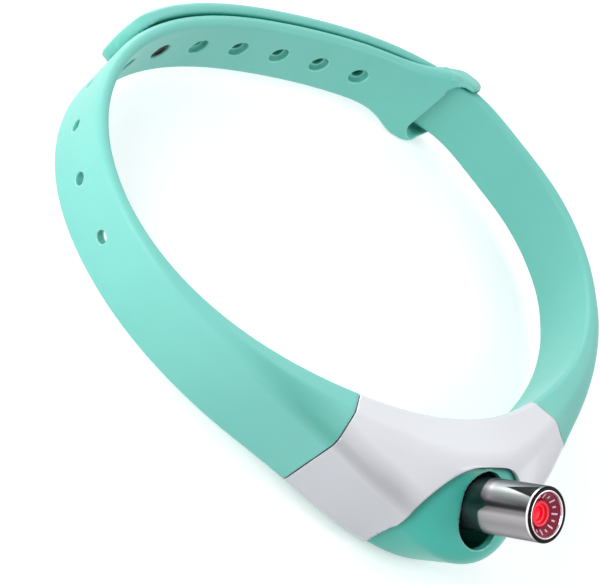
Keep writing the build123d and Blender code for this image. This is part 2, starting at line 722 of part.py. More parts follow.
SOCKET_Z = BOARD_TOP_Z + SOCKET_SIZE[2] / 2
SOCKET_PLACE = frame_at(-BAY_ANGLE) * Pos(SOCKET_SHIFT, 0, SOCKET_Z)
FLAP_SIZE = (8.6, 0.8, 4.6)
FLAP_PIN = 0.8
FLAP_PIN_REACH = 0.45
FLAP_DEPTH = 0.45
FLAP_HINGE_DROP = FLAP_SIZE[2] / 2 - FLAP_SIZE[1] / 2


def socket_opening():
    """Window in the neck-side plate in front of the charging socket."""
    return SOCKET_PLACE * Box(SOCKET_SIZE[0] + 0.5, 8, SOCKET_SIZE[2] + 0.4)


def flap_axle(diameter, spare=0.0):
    """Hinge pins of the socket flap as one bar along the strap."""
    reach = FLAP_SIZE[0] / 2 + FLAP_PIN_REACH + spare
    return rod(diameter, (-reach, -FLAP_DEPTH, -FLAP_HINGE_DROP), (reach, -FLAP_DEPTH, -FLAP_HINGE_DROP))


def flap_recess():
    """Shallow seat of the socket flap with sockets for its hinge pins."""
    seat = block((FLAP_SIZE[0] + 0.2, 1.9, FLAP_SIZE[2] + 0.6), (0, 0.05, 0.0))
    return SOCKET_PLACE * (seat + flap_axle(FLAP_PIN + 2 * RUNNING_FIT, 0.1))


def board_pieces():
    """Main board with its screw, charging socket, light and switch."""
    bay = frame_at(-BAY_ANGLE)
    near, far = BOARD_TO
    half = BOARD_HALF_WIDTH
    outline = Polyline((-half, -BOARD_FROM), (half, -BOARD_FROM), (half, -far), (1.2, -far), (-half, -near), close=True)
    under_board = BOARD_TOP_Z - BOARD_THICKNESS
    board = Pos(0, 0, under_board) * extrude(make_face(outline), BOARD_THICKNESS)
    screw_along, screw_out = BOARD_SCREW_PLACE
    screw_place = Pos(screw_along, -screw_out, 0)
    nodes["main_board"] = bay * (board - screw_place * upright(1.2, 20, -10))
    screw = upright(1.9, 0.7, BOARD_TOP_Z) + upright(0.9, 4.0, BOARD_TOP_Z - 4.0)
    screw -= block((1.4, 0.3, 0.6), (0, 0, BOARD_TOP_Z + 0.6))
    nodes["board_screw"] = bay * screw_place * screw

    width, depth, height = SOCKET_SIZE
    sheet = 0.3
    middle = -1.9 - depth / 2
    shell = block(SOCKET_SIZE, (0, middle, 0))
    shell -= block((width - 2 * sheet, depth, height - 2 * sheet), (0, middle + sheet, 0))
    shell += block((width - 2.6, depth - 1.2, 0.6), (0, middle - 0.3, 0.2))
    nodes["charging_socket"] = SOCKET_PLACE * shell
    nodes["status_led"] = bay * block((1.4, 0.7, 0.6), (-2.6, -7.8, BOARD_TOP_Z + 0.3))

    column = button_place()
    plunger_tip = under_board - 2.1
    switch = block((3.6, 3.0, 1.5), (0, 0, under_board - 0.75)) - upright(1.7, 3, plunger_tip)
    nodes["tact_switch"] = column * switch
    nodes["switch_plunger"] = column * upright(1.6, 1.6, plunger_tip)
    cap_face = REST_Z + 1.15
    cap = upright(BUTTON_HOLE - 0.2, BUTTON_FLANGE_Z - cap_face, cap_face) + upright(BUTTON_FLANGE, 0.6, BUTTON_FLANGE_Z)
    cap = fillet(cap.edges().filter_by(GeomType.CIRCLE).sort_by(Axis.Z)[0], 0.4)
    cap += upright(2.2, plunger_tip - 0.04 - BUTTON_FLANGE_Z, BUTTON_FLANGE_Z)
    nodes["power_button"] = column * cap


def flap_and_battery():
    """Silicone flap over the socket, the cell and its pad."""
    width, _, height = SOCKET_SIZE
    panel = block(FLAP_SIZE, (0, -FLAP_DEPTH, 0))
    panel = fillet(panel.edges().filter_by(Axis.X).sort_by(Axis.Z)[:2], FLAP_SIZE[1] / 2 - 0.01)
    panel = fillet(panel.edges().filter_by(Axis.Y).sort_by(Axis.Z)[-2:], 1.0)
    plug = block((width - 1.0, 0.7, height - 1.1), (0, -FLAP_DEPTH - 0.7, 0))
    nodes["socket_flap"] = SOCKET_PLACE * (panel + plug + flap_axle(FLAP_PIN))

    bay = frame_at(BAY_ANGLE)
    wide, deep, high = BATTERY_SIZE
    front = 3.0
    cell = block(BATTERY_SIZE, (0, -front - deep / 2, -1.1))
    cell = fillet(cell.edges().filter_by(Axis.Z), 1.4)
    cell = fillet(cell.faces().sort_by(Axis.Z)[-1].edges(), 0.4)
    nodes["battery_cell"] = bay * cell
    nodes["battery_pad"] = bay * block((wide - 1.6, 1.4, high - 3.5), (0.4, -front - deep - 0.75, -1.5))


def lead_pieces():
    """Leads from the board to the hollow pivot and to the battery."""
    bay = frame_at(-BAY_ANGLE)
    on_board = BOARD_TOP_Z + 0.05
    start = (bay * Pos(0.6, -9.2, on_board)).position
    pin_end = PIVOT - Vector(BARREL_DIAMETER / 2 - 0.4, 0, 0)
    corner = PIVOT - Vector(CHEEK_INNER + CHEEK_THICKNESS + 0.7, 0, 0)
    nodes["laser_lead"] = lead_along(Spline(start, corner, pin_end, tangents=[(0, 0, 1), (1, 0, 0)]))

    back = ring_flat(0)[1] - 3.6
    notch_z = 3.5
    cell_top = (frame_at(BAY_ANGLE) * Pos(-1.5, -5.1, 5.0)).position
    over_socket = (bay * Pos(2.6, -7.9, 2.4)).position
    board_end = (bay * Pos(2.2, -8.3, on_board)).position
    side = CHEEK_INNER + CHEEK_THICKNESS / 2
    route = Spline(cell_top, (side, back, notch_z), (0, back - 0.2, notch_z), (-side, back, notch_z), over_socket,
                   board_end, tangents=[(0, 0, 1), (0, 0, -1)])
    nodes["battery_lead"] = lead_along(route)


def screw_pieces():
    """Four countersunk screws of the neck-side plate."""
    screws = []
    for side in (-1, 1):
        for z in SCREW_LEVELS:
            cross = block((1.7, 0.35, 0.8), (0, 0, 0.25)) + block((0.35, 1.7, 0.8), (0, 0, 0.25))
            screw = plate_screw_head(side, z) + plate_screw_frame(side, z) * upright(1.2, 4.2, 0.8)
            screws.append(screw - plate_screw_frame(side, z) * cross)
    nodes["back_plate_screws"] = Compound(screws)


def main():
    """Build every node and write it to its own file."""
    housing_pieces()
    strap_pieces()
    barrel_pieces()
    board_pieces()
    flap_and_battery()
    lead_pieces()
    screw_pieces()
    for name, shape in nodes.items():
        export_step(shape, f"parts/{name}.step")
        solids = shape.solids()
        print(f"{name}: {len(solids)} solid(s), {sum(s.volume for s in solids):.1f} mm3")


main()
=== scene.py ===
"""Dressed model of a pet collar with a tilting laser pointer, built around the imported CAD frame.

Meshes are in metres and every piece stands where the CAD part has it.  The driving sizes below and
all sizes of pieces, profiles and patterns are in millimetres.  Each sub-assembly is a class that
builds its own meshes and gives them their finish.
"""

import logging
from dataclasses import dataclass, field
from enum import Enum
from math import atan2, ceil, cos, log2, pi, radians, sin, sqrt, tan
from typing import Any, Sequence

import bmesh
import bpy
from mathutils import Matrix, Vector
from mathutils.bvhtree import BVHTree


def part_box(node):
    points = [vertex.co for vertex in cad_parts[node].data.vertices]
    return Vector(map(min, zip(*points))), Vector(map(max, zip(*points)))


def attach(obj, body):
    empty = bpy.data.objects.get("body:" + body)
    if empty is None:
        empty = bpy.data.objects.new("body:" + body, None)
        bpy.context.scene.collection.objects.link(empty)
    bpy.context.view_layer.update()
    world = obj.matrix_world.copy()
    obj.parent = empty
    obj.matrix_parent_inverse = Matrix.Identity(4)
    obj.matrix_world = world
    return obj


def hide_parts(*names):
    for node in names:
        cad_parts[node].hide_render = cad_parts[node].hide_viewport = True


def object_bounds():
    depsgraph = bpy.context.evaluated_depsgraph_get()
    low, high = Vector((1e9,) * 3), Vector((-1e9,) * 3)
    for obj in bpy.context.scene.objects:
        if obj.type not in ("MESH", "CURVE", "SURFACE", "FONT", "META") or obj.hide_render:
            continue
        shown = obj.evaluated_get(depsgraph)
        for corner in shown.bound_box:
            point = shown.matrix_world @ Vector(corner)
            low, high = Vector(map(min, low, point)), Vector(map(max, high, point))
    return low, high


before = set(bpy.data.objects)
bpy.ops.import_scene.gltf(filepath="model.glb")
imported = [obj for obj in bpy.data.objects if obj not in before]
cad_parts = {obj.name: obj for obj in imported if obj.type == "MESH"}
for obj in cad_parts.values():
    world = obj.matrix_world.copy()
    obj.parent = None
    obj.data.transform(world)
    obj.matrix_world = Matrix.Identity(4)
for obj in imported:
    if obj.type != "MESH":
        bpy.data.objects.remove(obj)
CAD_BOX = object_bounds()

MM = 0.001
LOG = logging.getLogger("collar")

Tree = bpy.types.NodeTree
Node = bpy.types.Node
Socket = bpy.types.NodeSocket
Mesh = bpy.types.Mesh
Piece = bpy.types.Object
# Corner of a profile: radius from the axis, height and rounding.
Corner = tuple[float, float, float]

# Driving sizes of the part, as its source has them.
PIVOT = Vector((0.0, -50.2288, -0.3399))
BARREL_TURN = radians(90 - 57.8)
BARREL_RADIUS = 4.5
BARREL_BORE_RADIUS = 3.9
BARREL_FRONT = 22.6
BARREL_REAR = -3.2
RING_RADII = (2.15, 3.5)
RING_DEPTHS = (1.7, 0.5)
SCREW_SPREAD = 7.7
SCREW_LEVELS = (-6.3, 6.0)
SCREW_FACE_Y = -39.856
STRAP_THICKNESS = 2.4
LAYER_GAP = 0.3
STUD_PLACE = Vector((-31.2257, 33.1364, 0.0))
STUD_OUTWARDS = Vector((-0.371917, 0.928266, 0.0))

# Values stored on each point of the moulded pieces, which set painted shade in gaps and a painted
# highlight on rims, the span of each that shows, and how strongly.
PAINTED_GAP_SHADE, PAINTED_GAP_SHADE_SPAN, PAINTED_GAP_SHADE_STRENGTH = "crevice", (0.04, 0.6), 1.0
PAINTED_RIM_HIGHLIGHT, PAINTED_RIM_HIGHLIGHT_SPAN, PAINTED_RIM_HIGHLIGHT_STRENGTH = "rim", (0.09, 0.26), 0.8

# Settings that many nodes share, and the inputs of a colour mix: how much of the second colour
# shows, the first colour and the second.
COLOURS = {"data_type": "RGBA"}
SHARE, FIRST, SECOND = 0, 6, 7
PLUS = {"operation": "ADD"}
MINUS = {"operation": "SUBTRACT"}
TIMES = {"operation": "MULTIPLY"}
TIMES_PLUS = {"operation": "MULTIPLY_ADD"}
LARGER = {"operation": "MAXIMUM"}
# Span that most values of a noise texture lie in.
NOISE_SPAN = (0.1, 0.9)

# How far one round of smoothing moves a point towards the middle of its neighbours, how much of
# its cube a cast may fill, the least radius of a ring of points, and the angle in degrees from
# which an edge of a turned piece stays sharp.
MELT = 0.5
FULLEST_CAST = 0.99
LEAST_RADIUS = 1e-6
SHARP_FROM = 40


def linear(hex_colour: str) -> tuple[float, float, float, float]:
    """Turn an sRGB hex colour into linear RGBA.

    Args:
        hex_colour: Colour such as "#7ED9C9".

    Returns:
        The four linear channels, alpha 1.
    """
    def channel(start: int) -> float:
        """Linear value of the two hex digits from a place."""
        value = int(hex_colour[start:start + 2], 16) / 255
        return value / 12.92 if value <= 0.04045 else ((value + 0.055) / 1.055) ** 2.4

    return channel(1), channel(3), channel(5), 1.0


def add_node(tree: Tree, kind: str, settings: dict[str, Any] | None = None,
             inputs: dict[Any, Any] | Sequence[Any] = ()) -> Node:
    """Add one node with its settings, values and links.

    Args:
        tree: Node tree that gets the node.
        kind: Blender's type name of the node.
        settings: Properties of the node by name.
        inputs: What goes in, in order or by name or index: values, hex colours, sockets, nodes
            whose first enabled output is taken, or a list of these for one input.

    Returns:
        The new node.
    """
    node = tree.nodes.new(kind)
    for key, value in (settings or {}).items():
        setattr(node, key, value)
    for key, given in inputs.items() if isinstance(inputs, dict) else enumerate(inputs):
        for value in given if isinstance(given, list) else [given]:
            if isinstance(value, Node):
                value = next(output for output in value.outputs if output.enabled)
            if isinstance(value, Socket):
                tree.links.new(value, node.inputs[key])
            else:
                node.inputs[key].default_value = linear(value) if isinstance(value, str) else value
    return node


def set_stops(node: Node, stops: Sequence[tuple[float, str]]) -> Node:
    """Set a colour ramp's stops.

    Args:
        node: Ramp node.
        stops: Places from 0 to 1, each with its hex colour.

    Returns:
        The same node.
    """
    elements = node.color_ramp.elements
    while len(elements) < len(stops):
        elements.new(0.5)
    for element, (place, colour) in zip(elements, stops):
        element.position = place
        element.color = linear(colour)
    return node


def cleared_tree(owner: bpy.types.Material | bpy.types.World) -> Tree:
    """Switch nodes on and take out those that come with it.

    Args:
        owner: Material or world that gets nodes of its own.

    Returns:
        Its empty node tree.
    """
    owner.use_nodes = True
    owner.node_tree.nodes.clear()
    return owner.node_tree


def blotches(size_mm: float) -> float:
    """Texture scale whose blotches are about a size in millimetres."""
    return 1 / (size_mm * MM)


@dataclass(frozen=True)
class Crest:
    """Soft shade outside the ring, where the top slope rolls over into the front face.

    It lies along the cover and the swell of the straps, fades out towards the neck, the middle and
    the straps' run, and is faint on the right, where the light falls along it.  The face under it
    may keep some of the shade.  Each pair of sizes says where a fade starts and ends.
    """

    colour: str
    under: float = 0.0
    strength: float = 0.55
    height_mm: float = 2.9
    rise: float = 0.13
    width_mm: tuple[float, float] = (0.3, 2.6)
    under_mm: tuple[float, float] = (0.0, 2.0)
    start_mm: tuple[float, float] = (7.0, 16.0)
    end_mm: tuple[float, float] = (33.0, 46.0)
    back_mm: tuple[float, float] = (-30.0, -20.0)
    right_mm: tuple[float, float] = (-6.0, 6.0)
    right_share: float = 0.3
    outside_span: tuple[float, float] = (0.0, 0.35)

    def share(self, tree: Tree, place: Socket) -> Node:
        """How much of the shade shows at a place.

        Args:
            tree: Node tree of the material.
            place: Object coordinates.

        Returns:
            Node whose value is 0 away from the crest and its strength on it.
        """
        split = add_node(tree, "ShaderNodeSeparateXYZ", None, (place,))
        aside = add_node(tree, "ShaderNodeMath", {"operation": "ABSOLUTE"}, (split.outputs["X"],))
        crest = add_node(tree, "ShaderNodeMath", TIMES_PLUS, (aside, self.rise, self.height_mm * MM))
        below = add_node(tree, "ShaderNodeMath", MINUS, (crest, split.outputs["Z"]))
        off = add_node(tree, "ShaderNodeMath", {"operation": "ABSOLUTE"}, (below,))
        band, under = (
            add_node(tree, "ShaderNodeMapRange", None, (value, near * MM, far * MM, first, last))
            for value, (near, far), first, last in (
                (off, self.width_mm, self.strength, 0.0), (below, self.under_mm, 0.0, self.under)))
        share = add_node(tree, "ShaderNodeMath", LARGER, (band, under))
        for value, (near, far), first, last in (
                (aside, self.start_mm, 0.0, 1.0), (aside, self.end_mm, 1.0, 0.0),
                (split.outputs["Y"], self.back_mm, 1.0, 0.0),
                (split.outputs["X"], self.right_mm, 1.0, self.right_share)):
            fade = add_node(tree, "ShaderNodeMapRange", None, (value, near * MM, far * MM, first, last))
            share = add_node(tree, "ShaderNodeMath", TIMES, (share, fade))
        return add_node(tree, "ShaderNodeMath", TIMES, (share, self.outside(tree, place)))

    def outside(self, tree: Tree, place: Socket) -> Node:
        """Tell the ring's outer faces from its inner ones.

        Args:
            tree: Node tree of the material.
            place: Object coordinates.

        Returns:
            Node whose value is 1 on faces that look away from the neck.
        """
        level = add_node(tree, "ShaderNodeVectorMath", TIMES, (place, (1.0, 1.0, 0.0)))
        away = add_node(tree, "ShaderNodeVectorMath", {"operation": "NORMALIZE"}, (level,))
        normal = add_node(tree, "ShaderNodeTexCoord").outputs["Normal"]
        facing = add_node(tree, "ShaderNodeVectorMath", {"operation": "DOT_PRODUCT"}, (normal, away))
        return add_node(tree, "ShaderNodeMapRange", None, (facing, *self.outside_span))


@dataclass(frozen=True)
class Finish:
    """A surface: its colours, gloss and grain; the plain form suits moulded and cast things.

    The colour clouds softly into the clouded one, turns to the deep one, a painted shade, in gaps and
    to a painted highlight on rims, where the piece stores these, and to the crest's painted shade
    along the crest.
    """

    name: str
    colour: str
    clouded: str
    roughness: float
    grain_mm: float
    grain_depth_mm: float
    grain_detail: float = 3.0
    gloss_spread: float = 0.05
    cloud_mm: float = 9.0
    metallic: float = 0.0
    ior: float = 1.5
    coat: float = 0.0
    coat_roughness: float = 0.1
    subsurface: float = 0.0
    subsurface_mm: float = 1.0
    specular: float = 0.5
    # The deep colour is painted shade in gaps, and the rim highlight a painted highlight on rims.
    deep: str = ""
    rim_highlight: str = ""
    crest: Crest | None = None

    def material(self) -> bpy.types.Material:
        """Make the finish as a material, or find it again by its name.

        Returns:
            The one material of this finish.
        """
        known = bpy.data.materials.get(self.name)
        if known is not None:
            return known
        material = bpy.data.materials.new(self.name)
        tree = cleared_tree(material)
        place = add_node(tree, "ShaderNodeTexCoord").outputs["Object"]
        relief = add_node(tree, "ShaderNodeBump", None, {
            "Height": self.height(tree, place), "Strength": 1.0, "Distance": self.grain_depth_mm * MM})
        shader = add_node(tree, "ShaderNodeBsdfPrincipled", None, {
            "Base Color": self.paint(tree, place),
            "Roughness": self.gloss(tree, place),
            "Normal": relief,
            "Metallic": self.metallic,
            "IOR": self.ior,
            "Coat Weight": self.coat,
            "Coat Roughness": self.coat_roughness,
            "Subsurface Weight": self.subsurface,
            "Subsurface Scale": self.subsurface_mm * MM,
            "Specular IOR Level": self.specular,
        })
        self.extras(tree, place, shader)
        add_node(tree, "ShaderNodeOutputMaterial", None, (shader,))
        return material

    def paint(self, tree: Tree, place: Socket) -> Node:
        """Colour of the surface.

        Args:
            tree: Node tree of the material.
            place: Object coordinates.

        Returns:
            Node whose output is the colour.
        """
        clouds = add_node(tree, "ShaderNodeTexNoise", None, {
            "Vector": place, "Scale": blotches(self.cloud_mm)})
        colour = add_node(tree, "ShaderNodeMix", COLOURS, {
            SHARE: clouds, FIRST: self.colour, SECOND: self.clouded})
        # Painted shade in gaps and a painted highlight on outward rims, where the piece stores their values.
        for stored, span, strength, tint in (
                (PAINTED_GAP_SHADE, PAINTED_GAP_SHADE_SPAN, PAINTED_GAP_SHADE_STRENGTH, self.deep),
                (PAINTED_RIM_HIGHLIGHT, PAINTED_RIM_HIGHLIGHT_SPAN, PAINTED_RIM_HIGHLIGHT_STRENGTH, self.rim_highlight)):
            if tint:
                value = add_node(tree, "ShaderNodeAttribute", {"attribute_name": stored}).outputs["Fac"]
                share = add_node(tree, "ShaderNodeMapRange", None, (value, *span, 0.0, strength))
                colour = add_node(tree, "ShaderNodeMix", COLOURS, {
                    SHARE: share, FIRST: colour, SECOND: tint})
        # Painted shade along the crest.
        if self.crest:
            share = self.crest.share(tree, place)
            colour = add_node(tree, "ShaderNodeMix", COLOURS, {
                SHARE: share, FIRST: colour, SECOND: self.crest.colour})
        return colour

    def gloss(self, tree: Tree, place: Socket) -> Node:
        """Roughness, uneven in patches half as large as the clouds.

        Args:
            tree: Node tree of the material.
            place: Object coordinates.

        Returns:
            Node whose output is the roughness.
        """
        patches = add_node(tree, "ShaderNodeTexNoise", None, {
            "Vector": place, "Scale": blotches(self.cloud_mm / 2)})
        low, high = self.roughness - self.gloss_spread, self.roughness + self.gloss_spread
        return add_node(tree, "ShaderNodeMapRange", None, (patches, *NOISE_SPAN, low, high))

    def height(self, tree: Tree, place: Socket) -> Node:
        """Height of the surface's fine grain."""
        return add_node(tree, "ShaderNodeTexNoise", None, {
            "Vector": place, "Scale": blotches(self.grain_mm), "Detail": self.grain_detail})

    def extras(self, tree: Tree, place: Socket, shader: Node) -> None:
        """Set anything more that a finish has on its shader."""


@dataclass(frozen=True)
class SiliconeFinish(Finish):
    """Moulded silicone rubber: soft light comes a little way into it, and it has a faint bloom."""

    scatter: tuple[float, float, float] = (0.5, 1.0, 0.9)
    bloom: float = 0.06
    bloom_roughness: float = 0.4

    def extras(self, tree: Tree, place: Socket, shader: Node) -> None:
        """Set how far each colour travels under the skin, and the bloom.

        Args:
            tree: Node tree of the material; not used.
            place: Object coordinates; not used.
            shader: Shader that gets the values.
        """
        shader.inputs["Subsurface Radius"].default_value = self.scatter
        shader.inputs["Sheen Weight"].default_value = self.bloom
        shader.inputs["Sheen Roughness"].default_value = self.bloom_roughness


@dataclass(frozen=True)
class AxisFinish(Finish):
    """A surface whose pattern runs round the barrel's axis, in the barrel's own frame."""

    def barrel_vector(self, tree: Tree, place: Socket) -> Node:
        """Coordinates in metres along the barrel's own axes."""
        moved = add_node(tree, "ShaderNodeVectorMath", MINUS, (place, PIVOT * MM))
        return add_node(tree, "ShaderNodeVectorRotate", {"rotation_type": "X_AXIS", "invert": True}, {
            "Vector": moved, "Angle": BARREL_TURN})

    def barrel_place(self, tree: Tree, place: Socket) -> Node:
        """The barrel's own coordinates, split in three."""
        return add_node(tree, "ShaderNodeSeparateXYZ", None, (self.barrel_vector(tree, place),))

    def off_axis(self, tree: Tree, split: Node) -> Node:
        """Distance from the barrel's axis."""
        squares = [add_node(tree, "ShaderNodeMath", TIMES, (split.outputs[side],) * 2) for side in "XY"]
        return add_node(tree, "ShaderNodeMath", {"operation": "SQRT"}, (
            add_node(tree, "ShaderNodeMath", PLUS, squares),))

    def turn_share(self, tree: Tree, split: Node) -> Node:
        """Angle round the axis as 0 to 1, starting from the side."""
        sides = split.outputs["Y"], split.outputs["X"]
        angle = add_node(tree, "ShaderNodeMath", {"operation": "ARCTAN2"}, sides)
        return add_node(tree, "ShaderNodeMath", TIMES_PLUS, (angle, 0.5 / pi, 0.5))


@dataclass(frozen=True)
class PlatedTubeFinish(AxisFinish):
    """Bright nickel-chrome plate on a polished brass tube.

    Its lengthwise bands are painted reflections, the deep grey ones of the dark flags that stand round
    such a mirror in a studio.  Kept as tints of the plate too are a painted dark reflection in the wedge
    near the front, a painted highlight in the bright crescent of the rolled end, which is tinted near
    black, and a painted reflection of the slot on the foot.  A share is a turn round the axis, from 0 to 1.
    """

    # Painted reflections: colour stops round the tube.
    bands: tuple[tuple[float, str], ...] = ()
    wedge_reflection_colour: str = "#0C0D10"
    wedge_share: float = 0.852
    wedge_start_mm: float = 15.6
    wedge_half_share: float = 0.054
    wedge_edge: tuple[float, float] = (-0.002, 0.007)
    crescent_highlight_colour: str = "#FFFFFF"
    crescent_mm: float = 0.7
    crescent_span: tuple[float, float] = (0.2, 0.8)
    rim_colour: str = "#1A1719"
    rim_mm: float = 0.34
    rim_edge_mm: float = 0.08
    slot_reflection_colour: str = "#173A37"
    foot_mm: float = 11.0
    foot_swing_mm: float = 1.1
    foot_edge_mm: tuple[float, float] = (-0.15, 0.25)
    foot_strength: float = 0.92
    cusp_share: float = 0.98
    cusp_mm: float = 1.7
    cusp_sharpness: float = 60.0
    grain_detail: float = 4.0
    hairline_squeeze: tuple[float, float, float] = (1.0, 1.0, 0.06)
    hairline_contrast: float = 0.7
    edge_tint: str = "#77777C"

    def paint(self, tree: Tree, place: Socket) -> Node:
        """Lay the painted reflections in the bands, the wedge and the foot, the crescent's painted highlight
        and the dark rolled end over each other.

        The bands run from the first colour, at the side, round to the clouded one.

        Args:
            tree: Node tree of the material.
            place: Object coordinates.

        Returns:
            Node whose output is the colour.
        """
        split = self.barrel_place(tree, place)
        share, length = self.turn_share(tree, split), split.outputs["Z"]
        # Painted highlight: a bright crescent on the lit side of the rolled end.
        turned = add_node(tree, "ShaderNodeMath", MINUS, (share, self.cusp_share))
        angle = add_node(tree, "ShaderNodeMath", TIMES, (turned, 2 * pi))
        facing = add_node(tree, "ShaderNodeMath", {"operation": "COSINE"}, (angle,))
        lit_side = add_node(tree, "ShaderNodeMapRange", None, (facing, *self.crescent_span))
        near_end = self.beyond(tree, length, self.crescent_mm)
        crescent = add_node(tree, "ShaderNodeMath", TIMES, (lit_side, near_end))
        colour = set_stops(add_node(tree, "ShaderNodeValToRGB", None, (share,)), (
            (0.0, self.colour), *self.bands, (1.0, self.clouded)))
        # Painted reflections in the wedge and on the foot, the crescent's painted highlight and the
        # near-black end.
        for strength, tint in ((self.wedge(tree, share, length), self.wedge_reflection_colour),
                               (crescent, self.crescent_highlight_colour),
                               (self.beyond(tree, length, self.rim_mm), self.rim_colour),
                               (self.foot(tree, length, facing), self.slot_reflection_colour)):
            colour = add_node(tree, "ShaderNodeMix", COLOURS, {
                SHARE: strength, FIRST: colour, SECOND: tint})
        return colour

    def beyond(self, tree: Tree, length: Socket, end_mm: float) -> Node:
        """Tell the tube's front end from the rest, with a short soft start.

        Args:
            tree: Node tree of the material.
            length: Distance along the axis.
            end_mm: How far from the tube's front it starts.

        Returns:
            Node whose value is 1 at the end.
        """
        start = (BARREL_FRONT - end_mm) * MM
        end = start + self.rim_edge_mm * MM
        return add_node(tree, "ShaderNodeMapRange", None, (length, start, end))

    def wedge(self, tree: Tree, share: Node, length: Socket) -> Node:
        """Painted dark reflection in a wedge that widens towards the front.

        Args:
            tree: Node tree of the material.
            share: Turn round the axis from 0 to 1.
            length: Distance along the axis.

        Returns:
            Node whose value is 1 inside the wedge.
        """
        width = add_node(tree, "ShaderNodeMapRange", None, (
            length, self.wedge_start_mm * MM, BARREL_FRONT * MM, 0.0, self.wedge_half_share))
        aside = add_node(tree, "ShaderNodeMath", MINUS, (share, self.wedge_share))
        off_middle = add_node(tree, "ShaderNodeMath", {"operation": "ABSOLUTE"}, (aside,))
        inside = add_node(tree, "ShaderNodeMath", MINUS, (width, off_middle))
        return add_node(tree, "ShaderNodeMapRange", None, (inside, *self.wedge_edge))

    def foot(self, tree: Tree, length: Socket, facing: Node) -> Node:
        """Painted reflection of the slot on the foot of the tube, with a cusp between two scallops.

        Args:
            tree: Node tree of the material.
            length: Distance along the axis.
            facing: Cosine of the turn from the cusp.

        Returns:
            Node whose value is high on the foot.
        """
        forward = add_node(tree, "ShaderNodeMath", LARGER, (facing, 0.0))
        cusp = add_node(tree, "ShaderNodeMath", {"operation": "POWER"}, (forward, self.cusp_sharpness))
        swing, level = self.foot_swing_mm * MM, self.foot_mm * MM
        swung = add_node(tree, "ShaderNodeMath", TIMES_PLUS, (facing, swing, level))
        reach = add_node(tree, "ShaderNodeMath", TIMES_PLUS, (cusp, self.cusp_mm * MM, swung))
        short = add_node(tree, "ShaderNodeMath", MINUS, (reach, length))
        low, high = (edge * MM for edge in self.foot_edge_mm)
        return add_node(tree, "ShaderNodeMapRange", None, (short, low, high, 0.0, self.foot_strength))

    def height(self, tree: Tree, place: Socket) -> Node:
        """Hairlines of the polish, stretched along the tube."""
        stretched = add_node(tree, "ShaderNodeVectorMath", TIMES, (
            self.barrel_vector(tree, place), self.hairline_squeeze))
        return add_node(tree, "ShaderNodeTexNoise", None, {
            "Vector": stretched, "Scale": blotches(self.grain_mm), "Detail": self.grain_detail,
            "Roughness": self.hairline_contrast})

    def extras(self, tree: Tree, place: Socket, shader: Node) -> None:
        """Darken what the plate mirrors at its outline."""
        shader.inputs["Specular Tint"].default_value = linear(self.edge_tint)


@dataclass(frozen=True)
class TurnedFinish(AxisFinish):
    """Metal faced on a lathe: its grain is rings round the axis, which catch the light as arcs."""

    def height(self, tree: Tree, place: Socket) -> Node:
        """Tool rings, each a shallow wave along radius and length.

        Args:
            tree: Node tree of the material.
            place: Object coordinates.

        Returns:
            Node whose output is the height.
        """
        split = self.barrel_place(tree, place)
        run = add_node(tree, "ShaderNodeMath", PLUS, (self.off_axis(tree, split), split.outputs["Z"]))
        angle = add_node(tree, "ShaderNodeMath", TIMES, (run, 2 * pi / (self.grain_mm * MM)))
        return add_node(tree, "ShaderNodeMath", {"operation": "SINE"}, (angle,))


@dataclass(frozen=True)
class GlowingFinish(AxisFinish):
    """Clear red acrylic lit from behind, a painted glow: a hot middle that dims in steps to the clouded rim.
    """

    steps: tuple[tuple[float, str], ...] = ()
    dim_from: float = 0.97
    rim_mm: float = 2.2
    glow: float = 0.3

    def paint(self, tree: Tree, place: Socket) -> Node:
        """Rings of colour by the distance from the axis.

        Args:
            tree: Node tree of the material.
            place: Object coordinates.

        Returns:
            Node whose output is the colour.
        """
        off_axis = self.off_axis(tree, self.barrel_place(tree, place))
        share = add_node(tree, "ShaderNodeMath", {"operation": "DIVIDE"}, (off_axis, self.rim_mm * MM))
        return set_stops(add_node(tree, "ShaderNodeValToRGB", None, (share,)), (
            (0.0, self.colour), *self.steps, (self.dim_from, self.clouded)))

    def extras(self, tree: Tree, place: Socket, shader: Node) -> None:
        """Let the same rings glow."""
        tree.links.new(self.paint(tree, place).outputs["Color"], shader.inputs["Emission Color"])
        shader.inputs["Emission Strength"].default_value = self.glow


@dataclass(frozen=True)
class BoardFinish(Finish):
    """Glass-epoxy circuit board under green solder mask, its tracks a shade lighter."""

    track_mm: float = 0.7
    track_span: tuple[float, float] = (0.52, 0.56)
    unevenness: float = 0.35

    def paint(self, tree: Tree, place: Socket) -> Node:
        """Tracks as the edges of square cells.

        Args:
            tree: Node tree of the material.
            place: Object coordinates.

        Returns:
            Node whose output is the colour.
        """
        cells = add_node(tree, "ShaderNodeTexVoronoi", {"distance": "CHEBYCHEV", "feature": "F2"}, {
            "Vector": place, "Scale": blotches(2 * self.track_mm), "Randomness": self.unevenness})
        tracks = add_node(tree, "ShaderNodeMapRange", None, (cells, *self.track_span))
        return add_node(tree, "ShaderNodeMix", COLOURS, {
            SHARE: tracks, FIRST: self.colour, SECOND: self.clouded})


# Moulded silicone: matt and faintly translucent, so the shade inside the ring stays minty.
# Painted shade darkens its gaps and crest, and a painted highlight lightens its rims.
SILICONE = SiliconeFinish(
    "mint_silicone_moulded", "#86DACD", "#80D4C7", 0.42, 0.5, 0.0035, cloud_mm=14.0, ior=1.41,
    subsurface=0.12, subsurface_mm=1.2, deep="#159A86", rim_highlight="#B9F2E8", crest=Crest("#4AA797"))
# Moulded ABS of the pod: a shade deeper and smoother than the straps, with a soft sheen.
# Painted shade darkens its gaps, and a painted highlight lightens its rims.
GREEN_ABS = Finish(
    "green_abs_moulded", "#50CCB9", "#4BC5B2", 0.3, 0.35, 0.0016, cloud_mm=12.0, ior=1.54,
    specular=0.32, deep="#1A6A5F", rim_highlight="#B6F0E6")
